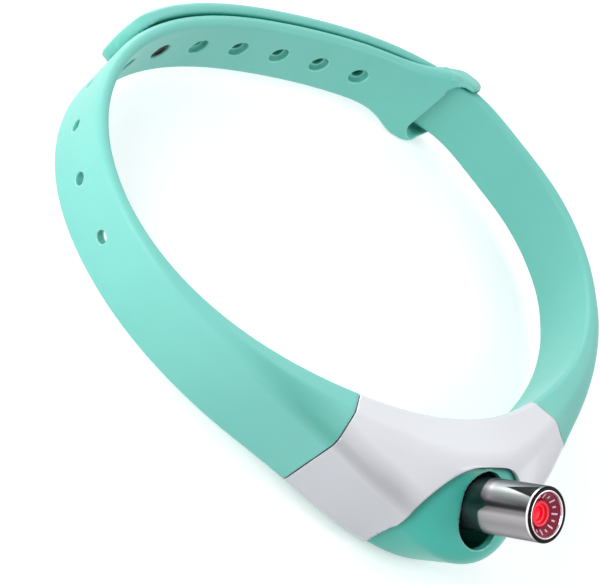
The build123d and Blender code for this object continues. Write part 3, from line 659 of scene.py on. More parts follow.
# ABS from a polished mould: broad soft highlights on a cool white.
# Painted shade greys its gaps and crest, and a painted highlight whitens its rims.
WHITE_ABS = Finish(
    "white_abs_polished_mould", "#EFF0F3", "#EBECF0", 0.24, 0.6, 0.0012, cloud_mm=16.0, ior=1.54,
    coat=0.35, coat_roughness=0.12, deep="#9DA3A8", rim_highlight="#FFFFFF", crest=Crest("#94939B", under=0.27))
# Plated tube: a mirror with painted reflections in lengthwise bands.  Its hairlines are drawn
# coarser than real, to show.
CHROME = PlatedTubeFinish(
    "nickel_chrome_plated_tube", "#7B7778", "#8E8A8B", 0.2, 0.35, 0.0012, gloss_spread=0.03, metallic=0.5,
    bands=((0.025, "#B5B0B1"), (0.08, "#9B9798"), (0.14, "#B3AEAF"), (0.2, "#8C8888"), (0.245, "#4A484A"),
           (0.3, "#8B888A"), (0.38, "#DAD7D8"), (0.46, "#7A777A"), (0.5, "#343236"), (0.55, "#B4B1B3"),
           (0.65, "#DDDADB"), (0.72, "#8F8C8F"), (0.755, "#343236"), (0.785, "#77757A"), (0.81, "#96939A"),
           (0.87, "#F4F0F0"), (0.9, "#B4B0B1"), (0.943, "#6C686A"), (0.965, "#2E2B2E"), (0.98, "#2E2B2E")))
# Turned and nickelled ring: a warm bright line round the lacquer.
BRIGHT_EDGE = TurnedFinish("bright_nickel_turned", "#E2D5D8", "#D8CBCE", 0.16, 0.12, 0.0008, metallic=1.0)
# Lacquer over a turned ring: deep magenta that looks wet.
MAGENTA = TurnedFinish(
    "magenta_lacquer_on_turned_ring", "#A1123F", "#8C0F3A", 0.26, 0.12, 0.0008, coat=0.1,
    coat_roughness=0.08, specular=0.3)
# Pad-printed marks: white ink, slightly raised and dry.
MARK_INK = Finish("white_pad_print_ink", "#FFFAFC", "#F6EAEE", 0.5, 0.15, 0.002, cloud_mm=1.0)
# Moulded acrylic lens, the lit module behind it shown as a painted glow: a hot red middle inside
# paler steps.
LENS = GlowingFinish(
    "red_acrylic_lens_lit", "#FF0436", "#AE102A", 0.16, 0.4, 0.0006, specular=0.2,
    steps=((0.5, "#F40030"), (0.56, "#FB3A48"), (0.72, "#E4182F"), (0.78, "#FB404C")))
# Black oxide on turned steel: dull, so the stud's face stays dark at a flat angle.
STUD_METAL = Finish("black_oxide_turned_steel", "#121216", "#0C0C10", 0.42, 0.25, 0.001, specular=0.06)
# Zinc plate on cold-headed steel: a cool grey glint with small patches.
STEEL = Finish("zinc_plated_steel", "#B9BCC0", "#A9ADB2", 0.32, 0.3, 0.002, metallic=1.0, cloud_mm=2.0)
# Moulded nylon: satin black, a little uneven.
BLACK_NYLON = Finish("black_nylon_moulded", "#1D1E20", "#242527", 0.48, 0.3, 0.003, cloud_mm=3.0)
# Turned brass: warm yellow with tool rings.
BRASS = TurnedFinish("turned_brass_module", "#C9A45A", "#BD974E", 0.26, 0.12, 0.001, metallic=1.0)
# Nickel plate on a drawn can: paler and warmer than the zinc.
DIODE_CAN = TurnedFinish("nickel_plated_diode_can", "#C4BFB4", "#B8B2A6", 0.25, 0.12, 0.001, metallic=1.0)
# Glass epoxy under solder mask: glossy green with paler tracks.
BOARD = BoardFinish("glass_epoxy_board_solder_mask", "#1E6B45", "#2C8757", 0.3, 0.3, 0.002, coat=0.3)
# Tinned sheet steel: bright grey, folded smooth.
TINNED = Finish("tinned_steel_shell", "#C9CBCD", "#BBBEC1", 0.28, 0.25, 0.0015, metallic=1.0, cloud_mm=1.5)
# Cast epoxy: milky, so light stays in it.
LED_RESIN = Finish("milky_led_resin", "#E9E6D8", "#DEDBCB", 0.25, 0.2, 0.001, subsurface=0.2)
# Aluminium laminate, pressed round the cell: soft crinkles in dull silver.
FOIL = Finish("aluminium_laminate_pouch", "#B4B7BB", "#A6AAAE", 0.34, 0.9, 0.02, metallic=1.0, cloud_mm=4.0)
# Foamed polyurethane: matt charcoal with open pores.
FOAM = Finish("black_polyurethane_foam", "#2A2B2D", "#353638", 0.9, 0.25, 0.04, cloud_mm=0.8)
# Extruded PVC on the leads: black with a slight shine.
SHEATH = Finish("black_pvc_sheath", "#222326", "#2B2C30", 0.42, 0.4, 0.003, cloud_mm=2.0)
# Extruded silicone on the cell's lead: matt brick red.
RED_SHEATH = Finish("red_silicone_sheath", "#A3222A", "#8F1D25", 0.45, 0.4, 0.003, cloud_mm=2.0)


class Body(Enum):
    """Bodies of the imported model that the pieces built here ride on."""

    COLLAR = "collar"
    BARREL = "barrel"


def dress(finish: Finish, *nodes: str) -> None:
    """Give CAD nodes their finish.

    Args:
        finish: Finish for all their faces.
        nodes: Names of the nodes.
    """
    for node in nodes:
        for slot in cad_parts[node].material_slots:
            slot.material = finish.material()
        LOG.info("dressed %s in %s", node, finish.name)


def new_piece(mesh: Mesh, finish: Finish, body: Body, slot: str, *replaces: str) -> Piece:
    """Put a mesh in the scene as a piece of the object, under the mesh's name.

    Args:
        mesh: Its mesh, already where it belongs.
        finish: Finish for all its faces.
        body: Body it moves with.
        slot: Material slot of the record it answers to; not used.
        replaces: CAD nodes it stands for.

    Returns:
        The new object.
    """
    piece = bpy.data.objects.new(mesh.name, mesh)
    bpy.context.scene.collection.objects.link(piece)
    mesh.materials.clear()
    mesh.materials.append(finish.material())
    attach(piece, body.value)
    if replaces:
        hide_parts(*replaces)
    LOG.info("built %s, %d faces", piece.name, len(mesh.polygons))
    return piece


def applied(carrier: Piece, name: str) -> Mesh:
    """Turn an object's modifiers into a plain mesh and drop the object.

    Args:
        carrier: Object with modifiers.
        name: Name of the new mesh.

    Returns:
        The mesh with the modifiers applied.
    """
    graph = bpy.context.evaluated_depsgraph_get()
    mesh = bpy.data.meshes.new_from_object(carrier.evaluated_get(graph))
    source = carrier.data
    bpy.data.objects.remove(carrier)
    bpy.data.meshes.remove(source)
    mesh.name = name
    return mesh


def merged_mesh(node: str, name: str, weld_mm: float = 0.002, flat_angle: float = 0.15) -> Mesh:
    """Copy a CAD node's mesh with its loose triangles joined into larger faces.

    Args:
        node: CAD node to copy.
        name: Name of the new mesh.
        weld_mm: Points nearer than this become one.
        flat_angle: Faces that meet flatter than this many degrees become one.

    Returns:
        The joined copy.
    """
    work = bmesh.new()
    work.from_mesh(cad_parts[node].data)
    bmesh.ops.remove_doubles(work, verts=work.verts, dist=weld_mm * MM)
    bmesh.ops.dissolve_limit(work, angle_limit=radians(flat_angle), verts=work.verts, edges=work.edges)
    mesh = bpy.data.meshes.new(name)
    work.to_mesh(mesh)
    work.free()
    mesh.shade_smooth()
    return mesh


def moulded_mesh(node: str, name: str, face_mm: float, rounds: int) -> Mesh:
    """Cast a CAD node anew in small even faces and let its sharp rims melt a little, as moulding does.

    Args:
        node: CAD node to cast.
        name: Name of the new mesh.
        face_mm: Size of the even faces.
        rounds: Rounds of smoothing; each softens the rims further.

    Returns:
        The cast mesh, where the node is.
    """
    carrier = bpy.data.objects.new(name, merged_mesh(node, name))
    bpy.context.scene.collection.objects.link(carrier)
    low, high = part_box(node)
    faces_along = max(end - start for start, end in zip(low, high)) / (face_mm * MM)
    cast = carrier.modifiers.new("even_faces", "REMESH")
    cast.mode = "SHARP"
    cast.octree_depth = ceil(log2(faces_along))
    cast.scale = min(FULLEST_CAST, faces_along / 2 ** cast.octree_depth)
    melt = carrier.modifiers.new("soft_rims", "SMOOTH")
    melt.factor = MELT
    melt.iterations = rounds
    mesh = applied(carrier, name)
    mesh.shade_smooth()
    return mesh


def melt_near(mesh: Mesh, centre: Vector, reach_mm: float, rounds: int) -> None:
    """Smooth a mesh more strongly around one point.

    Args:
        mesh: Mesh to change.
        centre: The point, in millimetres.
        reach_mm: How far from it the mesh is smoothed.
        rounds: Rounds of smoothing.
    """
    work = bmesh.new()
    work.from_mesh(mesh)
    near = [vertex for vertex in work.verts if (vertex.co / MM - centre).length < reach_mm]
    for _ in range(rounds):
        bmesh.ops.smooth_vert(work, verts=near, factor=MELT, use_axis_x=True, use_axis_y=True,
                              use_axis_z=True)
    work.to_mesh(mesh)
    work.free()


@dataclass(frozen=True)
class CreviceProbe:
    """Looks out from each point of some pieces and notes how closely surfaces crowd it.

    Each spoke turns by the golden angle from the last, so they spread evenly.  The value sets where
    shade is painted into gaps.
    """

    reach_mm: float = 5.0
    lift_mm: float = 0.05
    spokes: int = 9
    golden_angle: float = 2.399963
    rounds: int = 2

    def store(self, pieces: Sequence[Piece]) -> None:
        """Store a value on each point: 0 in the open, towards 1 deep in a gap.

        Args:
            pieces: Objects that crowd each other and get the value.
        """
        points: list[Vector] = []
        faces: list[list[int]] = []
        for piece in pieces:
            base = len(points)
            points += [vertex.co for vertex in piece.data.vertices]
            faces += [[base + index for index in face.vertices] for face in piece.data.polygons]
        around = BVHTree.FromPolygons(points, faces)
        fan = self.fan()
        for piece in pieces:
            crowded = [self.crowding(around, fan, vertex) for vertex in piece.data.vertices]
            attribute = piece.data.attributes.new(PAINTED_GAP_SHADE, "FLOAT", "POINT")
            attribute.data.foreach_set("value", self.evened(piece.data, crowded))

    def fan(self) -> list[tuple[float, float, float]]:
        """Spread the spokes evenly over the half sphere.

        Returns:
            Each spoke along a point's side, across it and upwards.
        """
        spokes = []
        for spoke in range(self.spokes):
            rise = (spoke + 0.5) / self.spokes
            turn = spoke * self.golden_angle
            spokes.append((cos(turn) * sqrt(rise), sin(turn) * sqrt(rise), sqrt(1 - rise)))
        return spokes

    def crowding(self, around: BVHTree, fan: Sequence[tuple[float, float, float]],
                 vertex: bpy.types.MeshVertex) -> float:
        """Look along every spoke from one point.

        Args:
            around: All the surfaces.
            fan: Spokes to look along.
            vertex: The point.

        Returns:
            Mean nearness of what the spokes meet within the reach.
        """
        upwards = vertex.normal
        side = upwards.orthogonal().normalized()
        across = upwards.cross(side)
        start = vertex.co + upwards * (self.lift_mm * MM)
        reach = self.reach_mm * MM
        crowd = 0.0
        for along_side, along_across, along_up in fan:
            spoke = side * along_side + across * along_across + upwards * along_up
            distance = around.ray_cast(start, spoke, reach)[3]
            if distance is not None:
                crowd += 1 - distance / reach
        return crowd / self.spokes

    def evened(self, mesh: Mesh, values: list[float]) -> list[float]:
        """Even values out with their neighbours', round by round.

        Args:
            mesh: Mesh whose points have the values.
            values: One value for each point.

        Returns:
            The evened values.
        """
        for _ in range(self.rounds):
            sums, counts = list(values), [1] * len(values)
            for edge in mesh.edges:
                first, second = edge.vertices
                sums[first] += values[second]
                sums[second] += values[first]
                counts[first] += 1
                counts[second] += 1
            values = [total / count for total, count in zip(sums, counts)]
        return values


def store_rims(mesh: Mesh) -> None:
    """Store on each point how sharply the surface bends outwards there, where a highlight is painted.

    Args:
        mesh: Mesh that gets the value.
    """
    bends = [0.0] * len(mesh.vertices)
    counts = [0] * len(mesh.vertices)
    for edge in mesh.edges:
        first, second = (mesh.vertices[index] for index in edge.vertices)
        step = (second.co - first.co).normalized()
        bends[first.index] -= step.dot(first.normal)
        bends[second.index] += step.dot(second.normal)
        counts[first.index] += 1
        counts[second.index] += 1
    values = [bend / max(count, 1) for bend, count in zip(bends, counts)]
    mesh.attributes.new(PAINTED_RIM_HIGHLIGHT, "FLOAT", "POINT").data.foreach_set("value", values)


def rounded_profile(corners: Sequence[Corner], steps: int = 5) -> list[tuple[float, float]]:
    """Round the corners of an open profile.

    Args:
        corners: Each corner as (radius from the axis, height, rounding), in millimetres.
        steps: Faces in each rounding.

    Returns:
        Points of the profile as (radius, height).
    """
    points = [Vector(corner[:2]) for corner in corners]
    result = []
    for index, (point, corner) in enumerate(zip(points, corners)):
        rounding = corner[2]
        if rounding <= 0 or index in (0, len(points) - 1):
            result.append((point.x, point.y))
            continue
        back = (points[index - 1] - point).normalized()
        ahead = (points[index + 1] - point).normalized()
        half = back.angle(ahead) / 2
        centre = point + (back + ahead).normalized() * (rounding / sin(half))
        start = point + back * (rounding / tan(half)) - centre
        end = point + ahead * (rounding / tan(half)) - centre
        sweep = start.angle_signed(end)
        for step in range(steps + 1):
            spoke = start.copy()
            spoke.rotate(Matrix.Rotation(-sweep * step / steps, 2))
            result.append((centre.x + spoke.x, centre.y + spoke.y))
    return result


def lathed(name: str, profile: Sequence[tuple[float, float]], place: Matrix, segments: int = 96,
           closed: bool = False) -> Mesh:
    """Turn a profile round the Z axis and set it in place.

    Args:
        name: Name of the mesh.
        profile: Points as (radius, height) in millimetres; radius 0 ends in a pole.
        place: Where the turned shape's own frame stands, in metres.
        segments: Faces round the axis.
        closed: Join the last point to the first, for rings and tubes.

    Returns:
        A closed mesh with outward normals.
    """
    work = bmesh.new()
    rows = []
    for radius, height in profile:
        if radius < LEAST_RADIUS:
            rows.append([work.verts.new((0.0, 0.0, height * MM))])
            continue
        rows.append([work.verts.new((radius * MM * cos(2 * pi * turn / segments),
                                     radius * MM * sin(2 * pi * turn / segments), height * MM))
                     for turn in range(segments)])
    pairs = list(zip(rows, rows[1:])) + ([(rows[-1], rows[0])] if closed else [])
    for lower, upper in pairs:
        for turn in range(segments):
            after = (turn + 1) % segments
            if len(lower) == 1:
                work.faces.new((lower[0], upper[after], upper[turn]))
            elif len(upper) == 1:
                work.faces.new((lower[turn], lower[after], upper[0]))
            else:
                work.faces.new((lower[turn], lower[after], upper[after], upper[turn]))
    bmesh.ops.recalc_face_normals(work, faces=work.faces)
    mesh = bpy.data.meshes.new(name)
    work.to_mesh(mesh)
    work.free()
    mesh.transform(place)
    mesh.shade_smooth()
    mesh.set_sharp_from_angle(angle=radians(SHARP_FROM))
    return mesh


def barrel_frame() -> Matrix:
    """Frame of the barrel: its axis along Z, the pivot at the origin."""
    return Matrix.Translation(PIVOT * MM) @ Matrix.Rotation(BARREL_TURN, 4, "X")


class RepeatBuilder:
    """Makes a geometry node tree with named inputs and turns its result into a plain mesh."""

    def __init__(self, name: str, sizes: dict[str, float | int]) -> None:
        """Start the tree.

        Args:
            name: Name of the tree and its mesh.
            sizes: Named inputs with their values; whole numbers become integer inputs.
        """
        self.name = name
        self.sizes = sizes
        self.tree = bpy.data.node_groups.new(name, "GeometryNodeTree")
        self.identifiers: dict[str, str] = {}
        for label, value in sizes.items():
            kind = "NodeSocketInt" if isinstance(value, int) else "NodeSocketFloat"
            socket = self.tree.interface.new_socket(label, in_out="INPUT", socket_type=kind)
            self.identifiers[label] = socket.identifier
        self.tree.interface.new_socket("Geometry", in_out="OUTPUT", socket_type="NodeSocketGeometry")
        self.size = add_node(self.tree, "NodeGroupInput").outputs

    def mesh(self, geometry: Node, finish: Finish, place: Matrix) -> Mesh:
        """Finish the tree and read its result.

        Args:
            geometry: Last node of the tree.
            finish: Finish of the result.
            place: Frame to set the result in.

        Returns:
            A plain mesh, in place.
        """
        real = add_node(self.tree, "GeometryNodeRealizeInstances", None, (geometry,))
        dressed = add_node(self.tree, "GeometryNodeSetMaterial", None, {
            "Geometry": real, "Material": finish.material()})
        add_node(self.tree, "NodeGroupOutput", None, (dressed,))
        carrier = bpy.data.objects.new(self.name, bpy.data.meshes.new(self.name))
        bpy.context.scene.collection.objects.link(carrier)
        modifier = carrier.modifiers.new(self.name, "NODES")
        modifier.node_group = self.tree
        for label, value in self.sizes.items():
            modifier[self.identifiers[label]] = value
        result = applied(carrier, self.name)
        result.transform(place)
        return result


@dataclass
class Lamp:
    """One square white soft box."""

    name: str
    position: tuple[float, float, float]
    size: float
    power: float


@dataclass
class Studio:
    """Camera, soft boxes, pale floor and the light from all round.

    Places and sizes are in metres where their name doesn't end in mm, and angles in degrees.
    """

    position: tuple[float, float, float] = (-0.229080, -0.141763, 0.193909)
    azimuth: float = -58.7215
    elevation: float = 38.0158
    roll: float = 50.9073
    lens_mm: float = 114.203
    sensor_mm: float = 36.0
    nearest: float = 0.01
    aim: tuple[float, float, float] = (0.0, -0.015, 0.0)
    floor_size: float = 6.0
    floor_drop: float = 0.00005
    floor_glow: float = 0.52
    paper_colours: tuple[str, str] = ("#EEEEEE", "#F2F2F2")
    paper_cloud_mm: float = 60.0
    sky_colour: str = "#F6F9FF"
    sky: float = 0.44
    lamps: list[Lamp] = field(default_factory=lambda: [
        Lamp("side_soft_box", (-0.22, 0.0, 0.10), 0.12, 0.275),
        Lamp("top_soft_box", (0.2, -0.2, 0.3), 0.2, 0.40),
        Lamp("back_soft_box", (0.0, 0.4, 0.1), 0.3, 1.0),
    ])

    def build(self) -> None:
        """Set up the whole studio."""
        self.camera()
        for lamp in self.lamps:
            self.soft_box(lamp)
        self.floor()
        self.world()
        bpy.context.scene.view_settings.view_transform = "Standard"

    def camera(self) -> None:
        """Camera where the photograph was taken from, rolled as it was held."""
        azimuth, elevation, roll = radians(self.azimuth), radians(self.elevation), radians(self.roll)
        back = Vector((sin(azimuth) * cos(elevation), -cos(azimuth) * cos(elevation), sin(elevation)))
        level = Vector((cos(azimuth), sin(azimuth), 0.0))
        right = level * cos(roll) + back.cross(level) * sin(roll)
        up = back.cross(right)
        data = bpy.data.cameras.new("camera")
        data.lens = self.lens_mm
        data.sensor_width = self.sensor_mm
        data.sensor_fit = "HORIZONTAL"
        data.clip_start = self.nearest
        camera = bpy.data.objects.new("camera", data)
        turned = Matrix((right, up, back)).transposed().to_4x4()
        camera.matrix_world = Matrix.Translation(self.position) @ turned
        bpy.context.scene.collection.objects.link(camera)
        bpy.context.scene.camera = camera

    def soft_box(self, lamp: Lamp) -> None:
        """Hang a square soft box aimed at the object.

        Args:
            lamp: Its place, size and power.
        """
        data = bpy.data.lights.new(lamp.name, "AREA")
        data.size = lamp.size
        data.energy = lamp.power
        box = bpy.data.objects.new(lamp.name, data)
        box.location = lamp.position
        box.visible_camera = False
        aim = Vector(self.aim) - Vector(lamp.position)
        box.rotation_euler = aim.to_track_quat("-Z", "Y").to_euler()
        bpy.context.scene.collection.objects.link(box)

    def floor(self) -> None:
        """Pale floor just under the lowest point, white to the camera and in reflections."""
        half = self.floor_size / 2
        level = CAD_BOX[0][2] - self.floor_drop
        mesh = bpy.data.meshes.new("floor")
        corners = [(-half, -half, level), (half, -half, level), (half, half, level), (-half, half, level)]
        mesh.from_pydata(corners, [], [(0, 1, 2, 3)])
        floor = bpy.data.objects.new("floor", mesh)
        bpy.context.scene.collection.objects.link(floor)
        material = bpy.data.materials.new("pale_paper_floor")
        tree = cleared_tree(material)
        place = add_node(tree, "ShaderNodeTexCoord").outputs["Object"]
        clouds = add_node(tree, "ShaderNodeTexNoise", None, {
            "Vector": place, "Scale": blotches(self.paper_cloud_mm)})
        paper = add_node(tree, "ShaderNodeMix", COLOURS, {
            SHARE: clouds, FIRST: self.paper_colours[0], SECOND: self.paper_colours[1]})
        lit = add_node(tree, "ShaderNodeBsdfDiffuse", None, (paper,))
        glow = add_node(tree, "ShaderNodeEmission", None, (paper, self.floor_glow))
        shown = add_node(tree, "ShaderNodeAddShader", None, (lit, glow))
        surface = add_node(tree, "ShaderNodeMixShader", None, (self.seen(tree), lit, shown))
        add_node(tree, "ShaderNodeOutputMaterial", None, (surface,))
        mesh.materials.append(material)

    def seen(self, tree: Tree) -> Node:
        """1 for rays that show the background: from the camera, mirrored or through glass."""
        path = add_node(tree, "ShaderNodeLightPath").outputs
        mirrored = add_node(tree, "ShaderNodeMath", LARGER, (path["Is Camera Ray"], path["Is Glossy Ray"]))
        return add_node(tree, "ShaderNodeMath", LARGER, (mirrored, path["Is Transmission Ray"]))

    def world(self) -> None:
        """Even grey light from all round, and white where it is seen."""
        world = bpy.data.worlds.new("studio_light")
        bpy.context.scene.world = world
        tree = cleared_tree(world)
        soft = add_node(tree, "ShaderNodeBackground", None, (self.sky_colour, self.sky))
        white = add_node(tree, "ShaderNodeBackground", None, ("#FFFFFF", 1.0))
        surface = add_node(tree, "ShaderNodeMixShader", None, (self.seen(tree), soft, white))
        add_node(tree, "ShaderNodeOutputWorld", None, (surface,))


@dataclass
class Straps:
    """The two moulded straps and the pins that hold them to the housing."""

    face_mm: float = 0.31
    rounds: int = 2
    tip: Vector = field(default_factory=lambda: Vector((-40.9, 32.5, 0.0)))
    tip_reach_mm: float = 9.0
    tip_rounds: int = 4
    keeper_corner: Vector = field(default_factory=lambda: Vector((38.4, 33.4, 8.4)))
    keeper_reach_mm: float = 5.5
    keeper_rounds: int = 16

    def build(self) -> list[Piece]:
        """Mould both straps with soft rims and dress their pins.

        Returns:
            The moulded pieces.
        """
        long_strap = moulded_mesh("strap_long", "long_strap_moulding", self.face_mm, self.rounds)
        melt_near(long_strap, self.keeper_corner, self.keeper_reach_mm, self.keeper_rounds)
        short_strap = moulded_mesh("strap_short", "short_strap_moulding", self.face_mm, self.rounds)
        melt_near(short_strap, self.tip, self.tip_reach_mm, self.tip_rounds)
        dress(STEEL, "strap_pins")
        return [new_piece(long_strap, SILICONE, Body.COLLAR, "green_silicone", "strap_long"),
                new_piece(short_strap, SILICONE, Body.COLLAR, "green_silicone", "strap_short")]


@dataclass
class Clasp:
    """The stud that joins the straps and its soft cap.

    Heights run outwards from the inner face of the ring, those of the stud's back and the cap from
    the outer face of the two strap layers.
    """

    head: tuple[Corner, ...] = (
        (0.0, 0.3, 0.0), (0.85, 0.3, 0.1), (1.05, 0.15, 0.1), (1.65, 0.15, 0.22), (1.65, 0.8, 0.12),
        (1.0, 0.8, 0.08))
    stem: tuple[Corner, ...] = ((1.0, 0.6, 0.1), (0.0, 0.6, 0.0))
    cap: tuple[Corner, ...] = (
        (0.0, 0.62, 0.0), (1.0, 0.62, 0.03), (1.0, 0.05, 0.03), (2.5, 0.05, 0.1), (2.5, 0.85, 0.4),
        (1.5, 1.12, 0.5), (0.0, 1.14, 0.0))
    cap_steps: int = 6

    def build(self) -> list[Piece]:
        """Turn the stud and mould its cap, both about the stud's own axis.

        Returns:
            No piece, because none of these is moulded.
        """
        along = Vector((0.0, 0.0, 1.0)).cross(STUD_OUTWARDS)
        turned = Matrix((along, STUD_OUTWARDS.cross(along), STUD_OUTWARDS)).transposed().to_4x4()
        place = Matrix.Translation(STUD_PLACE * MM) @ turned
        outside = 2 * STRAP_THICKNESS + LAYER_GAP
        stem, cap = ([(radius, height + outside, rounding) for radius, height, rounding in corners]
                     for corners in (self.stem, self.cap))
        stud_mesh = lathed("snap_stud", rounded_profile([*self.head, *stem]), place)
        new_piece(stud_mesh, STUD_METAL, Body.COLLAR, "dark_metal", "clasp_stud")
        cap_mesh = lathed("soft_stud_cap", rounded_profile(cap, self.cap_steps), place)
        new_piece(cap_mesh, SILICONE, Body.COLLAR, "green_silicone", "stud_cap")
        return []


@dataclass
class Housing:
    """White cover, green body and the neck-side plate with its seal and screws."""

    cover_face_mm: float = 0.22
    body_face_mm: float = 0.3
    cover_rounds: int = 1
    body_rounds: int = 2
    head_radius: float = 1.25
    head_height: float = 0.7
    head_sunk: float = 0.25
    shank_radius: float = 0.6
    shank_length: float = 4.2
    shank_middle: float = 2.65
    cross_size: tuple[float, float] = (0.35, 1.6)
    cross_depth_share: float = 0.55
    head_faces: int = 40
    shank_faces: int = 24

    def build(self) -> list[Piece]:
        """Cast the shells with their soft edges, set the screws and dress the rest.

        Returns:
            The moulded pieces.
        """
        cover = moulded_mesh("front_cover", "cover_shell", self.cover_face_mm, self.cover_rounds)
        body = moulded_mesh("pod_body", "pod_shell", self.body_face_mm, self.body_rounds)
        dress(GREEN_ABS, "back_plate")
        dress(FOAM, "back_plate_gasket")
        self.screws()
        return [new_piece(cover, WHITE_ABS, Body.COLLAR, "white_abs", "front_cover"),
                new_piece(body, GREEN_ABS, Body.COLLAR, "green_abs", "pod_body")]

    def screws(self) -> None:
        """Four countersunk cross-head screws, set on a grid by one node tree."""
        build = RepeatBuilder("countersunk_screws", {
            "Spread": 2 * SCREW_SPREAD * MM, "Rise": (SCREW_LEVELS[1] - SCREW_LEVELS[0]) * MM,
            "Head Radius": self.head_radius * MM, "Shank Radius": self.shank_radius * MM,
            "Head Height": self.head_height * MM, "Shank Length": self.shank_length * MM,
            "Shank Middle": self.shank_middle * MM,
            "Cross Width": self.cross_size[0] * MM, "Cross Length": self.cross_size[1] * MM})
        tree, size = build.tree, build.size
        spots = add_node(tree, "GeometryNodeMeshGrid", None, (size["Spread"], size["Rise"], 2, 2))
        placed = add_node(tree, "GeometryNodeInstanceOnPoints", None, {
            "Points": spots, "Instance": self.one_screw(build)})
        middle = Vector((0.0, SCREW_FACE_Y - self.head_sunk, sum(SCREW_LEVELS) / 2)) * MM
        place = Matrix.Translation(middle) @ Matrix.Rotation(radians(90), 4, "X")
        mesh = build.mesh(placed, STEEL, place)
        new_piece(mesh, STEEL, Body.COLLAR, "steel_pin", "back_plate_screws")

    def one_screw(self, build: RepeatBuilder) -> Node:
        """One screw: a cone with a cross cut into it, on its shank.

        Args:
            build: Tree that gets the screw's nodes.

        Returns:
            The node that joins head and shank.
        """
        tree, size = build.tree, build.size
        head = add_node(tree, "GeometryNodeMeshCone", None, {
            "Vertices": self.head_faces, "Radius Top": size["Shank Radius"],
            "Radius Bottom": size["Head Radius"], "Depth": size["Head Height"]})
        # The bars are centred on the head's face, so half of their height cuts into it.
        bar_height = add_node(tree, "ShaderNodeMath", TIMES, (
            size["Head Height"], 2 * self.cross_depth_share))
        bars = []
        for width, length in (("Cross Width", "Cross Length"), ("Cross Length", "Cross Width")):
            sides = add_node(tree, "ShaderNodeCombineXYZ", None, (size[width], size[length], bar_height))
            bars.append(add_node(tree, "GeometryNodeMeshCube", None, (sides,)))
        cross = add_node(tree, "GeometryNodeJoinGeometry", None, {"Geometry": bars})
        cut = add_node(tree, "GeometryNodeMeshBoolean", {"operation": "DIFFERENCE"}, (head, cross))
        shank = add_node(tree, "GeometryNodeMeshCylinder", None, {
            "Vertices": self.shank_faces, "Radius": size["Shank Radius"], "Depth": size["Shank Length"]})
        along = add_node(tree, "ShaderNodeCombineXYZ", None, {"Z": size["Shank Middle"]})
        lowered = add_node(tree, "GeometryNodeTransform", None, {"Geometry": shank, "Translation": along})
        return add_node(tree, "GeometryNodeJoinGeometry", None, {"Geometry": [cut, lowered]})


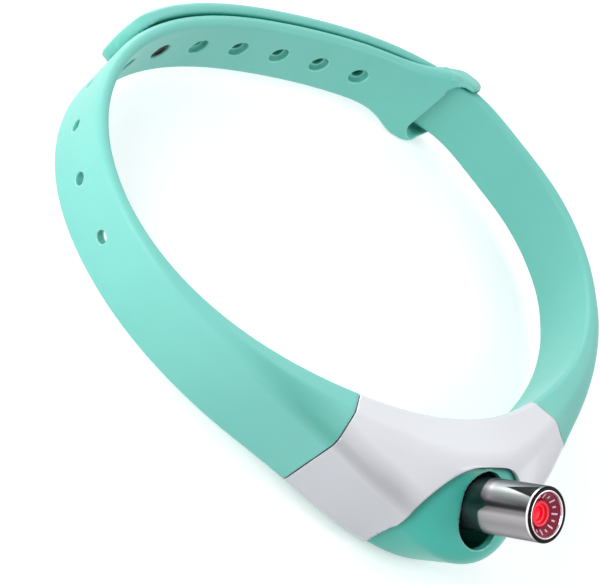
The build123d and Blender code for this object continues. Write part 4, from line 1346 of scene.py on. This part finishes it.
@dataclass
class Barrel:
    """Everything that tilts: tube, front rings, lens, laser module and its swivel.

    Profiles give the depth below the tube's front end in place of a height.
    """

    tube_steps: int = 7
    tube_segments: int = 128
    rear_rounding: float = 0.15
    front_rounding: float = 0.45
    lip: tuple[Corner, ...] = ((BARREL_BORE_RADIUS, 0.0, 0.1), (BARREL_BORE_RADIUS, 1.0, 0.0))
    rim: tuple[Corner, ...] = (
        (BARREL_BORE_RADIUS, 1.7, 0.0), (BARREL_BORE_RADIUS, 0.12, 0.12), (3.62, 0.12, 0.12),
        (3.5, 0.45, 0.05), (3.5, 1.7, 0.0))
    lens: tuple[Corner, ...] = (
        (0.0, 3.2, 0.0), (2.12, 3.2, 0.1), (2.12, 1.45, 0.12), (1.62, 1.5, 0.1), (1.56, 1.95, 0.08),
        (1.16, 2.0, 0.08), (1.08, 2.4, 0.08), (0.0, 2.45, 0.0))
    mark_count: int = 16
    mark_radius: float = 2.84
    mark_size: tuple[float, float, float] = (0.95, 0.27, 0.08)
    short_mark: float = 0.55
    long_every: int = 2

    def build(self) -> list[Piece]:
        """Build the front in fine detail and dress the rest.

        Returns:
            No piece, because none of these is moulded.
        """
        self.front()
        self.marks()
        dress(BRASS, "laser_module")
        dress(BLACK_NYLON, "module_holder", "rear_plug", "swivel_collar", "friction_washers")
        dress(DIODE_CAN, "laser_diode")
        dress(BOARD, "driver_board")
        dress(SHEATH, "module_lead")
        dress(STEEL, "pivot_pins")
        return []

    def front(self) -> None:
        """Tube with its rolled edge, bright ring, lacquered ring and stepped lens."""
        place = barrel_frame()
        lip, rim, lens = ([(radius, BARREL_FRONT - depth, rounding) for radius, depth, rounding in corners]
                          for corners in (self.lip, self.rim, self.lens))
        tube = [(BARREL_BORE_RADIUS, BARREL_REAR, 0.0), (BARREL_RADIUS, BARREL_REAR, self.rear_rounding),
                (BARREL_RADIUS, BARREL_FRONT, self.front_rounding), *lip]
        tube_mesh = lathed("plated_tube", rounded_profile(tube, self.tube_steps), place, self.tube_segments,
                           closed=True)
        new_piece(tube_mesh, CHROME, Body.BARREL, "chrome_tube", "barrel_sleeve")
        rim_mesh = lathed("bright_front_ring", rounded_profile(rim), place, closed=True)
        new_piece(rim_mesh, BRIGHT_EDGE, Body.BARREL, "bright_bezel", "front_bezel")
        dress(MAGENTA, "marked_ring")
        lens_mesh = lathed("stepped_lens", rounded_profile(lens), place)
        new_piece(lens_mesh, LENS, Body.BARREL, "red_lens", "laser_lens")

    def marks(self) -> None:
        """Printed tick marks on the sloping face of the lacquered ring, long and short in turn."""
        slope = (RING_DEPTHS[0] - RING_DEPTHS[1]) / (RING_RADII[1] - RING_RADII[0])
        length, width, height = self.mark_size
        build = RepeatBuilder("ring_marks", {
            "Count": self.mark_count, "Radius": self.mark_radius * MM, "Length": length * MM,
            "Width": width * MM, "Height": height * MM, "Tilt": -atan2(slope, 1.0),
            "Long Every": self.long_every, "Short Share": self.short_mark})
        tree, size = build.tree, build.size
        circle = add_node(tree, "GeometryNodeMeshCircle", None, (size["Count"], size["Radius"]))
        sides = add_node(tree, "ShaderNodeCombineXYZ", None, (size["Length"], size["Width"], size["Height"]))
        mark = add_node(tree, "GeometryNodeMeshCube", None, (sides,))
        spot = add_node(tree, "GeometryNodeInputPosition")
        turn = add_node(tree, "FunctionNodeAlignRotationToVector", {"axis": "X"}, {"Vector": spot})
        index = add_node(tree, "GeometryNodeInputIndex")
        cycle = add_node(tree, "ShaderNodeMath", {"operation": "MODULO"}, (index, size["Long Every"]))
        is_short = add_node(tree, "ShaderNodeMath", {"operation": "GREATER_THAN"}, (cycle, 0.5))
        share = add_node(tree, "ShaderNodeMapRange", None, (is_short, 0.0, 1.0, 1.0, size["Short Share"]))
        scale = add_node(tree, "ShaderNodeCombineXYZ", None, (share, 1.0, 1.0))
        placed = add_node(tree, "GeometryNodeInstanceOnPoints", None, {
            "Points": circle, "Instance": mark, "Rotation": turn, "Scale": scale})
        tilt = add_node(tree, "ShaderNodeCombineXYZ", None, {"Y": size["Tilt"]})
        tilted = add_node(tree, "GeometryNodeRotateInstances", None, {"Instances": placed, "Rotation": tilt})
        level = BARREL_FRONT - RING_DEPTHS[0] + (self.mark_radius - RING_RADII[0]) * slope
        mesh = build.mesh(tilted, MARK_INK, barrel_frame() @ Matrix.Translation((0.0, 0.0, level * MM)))
        new_piece(mesh, MARK_INK, Body.BARREL, "magenta_ring")


@dataclass
class Electronics:
    """Board, switch, socket, light, battery and leads inside the housing."""

    def build(self) -> list[Piece]:
        """Dress the parts that the housing hides and those at its openings.

        Returns:
            No piece, because none of these is moulded.
        """
        dress(BOARD, "main_board")
        dress(STEEL, "board_screw")
        dress(TINNED, "charging_socket")
        dress(SILICONE, "socket_flap")
        dress(BLACK_NYLON, "power_button", "tact_switch", "switch_plunger")
        dress(LED_RESIN, "status_led")
        dress(FOIL, "battery_cell")
        dress(FOAM, "battery_pad")
        dress(SHEATH, "laser_lead")
        dress(RED_SHEATH, "battery_lead")
        return []


def main() -> None:
    """Build the studio and every sub-assembly, then store the gap and rim values on the moulded pieces."""
    logging.basicConfig(level=logging.INFO, format="%(name)s: %(message)s")
    Studio().build()
    moulded: list[Piece] = []
    for assembly in (Straps(), Clasp(), Housing(), Barrel(), Electronics()):
        LOG.info("building %s", type(assembly).__name__)
        moulded += assembly.build()
    # Values for painted shade in gaps, then for painted highlights on rims.
    CreviceProbe().store(moulded)
    for piece in moulded:
        store_rims(piece.data)


if __name__ == "__main__":
    main()
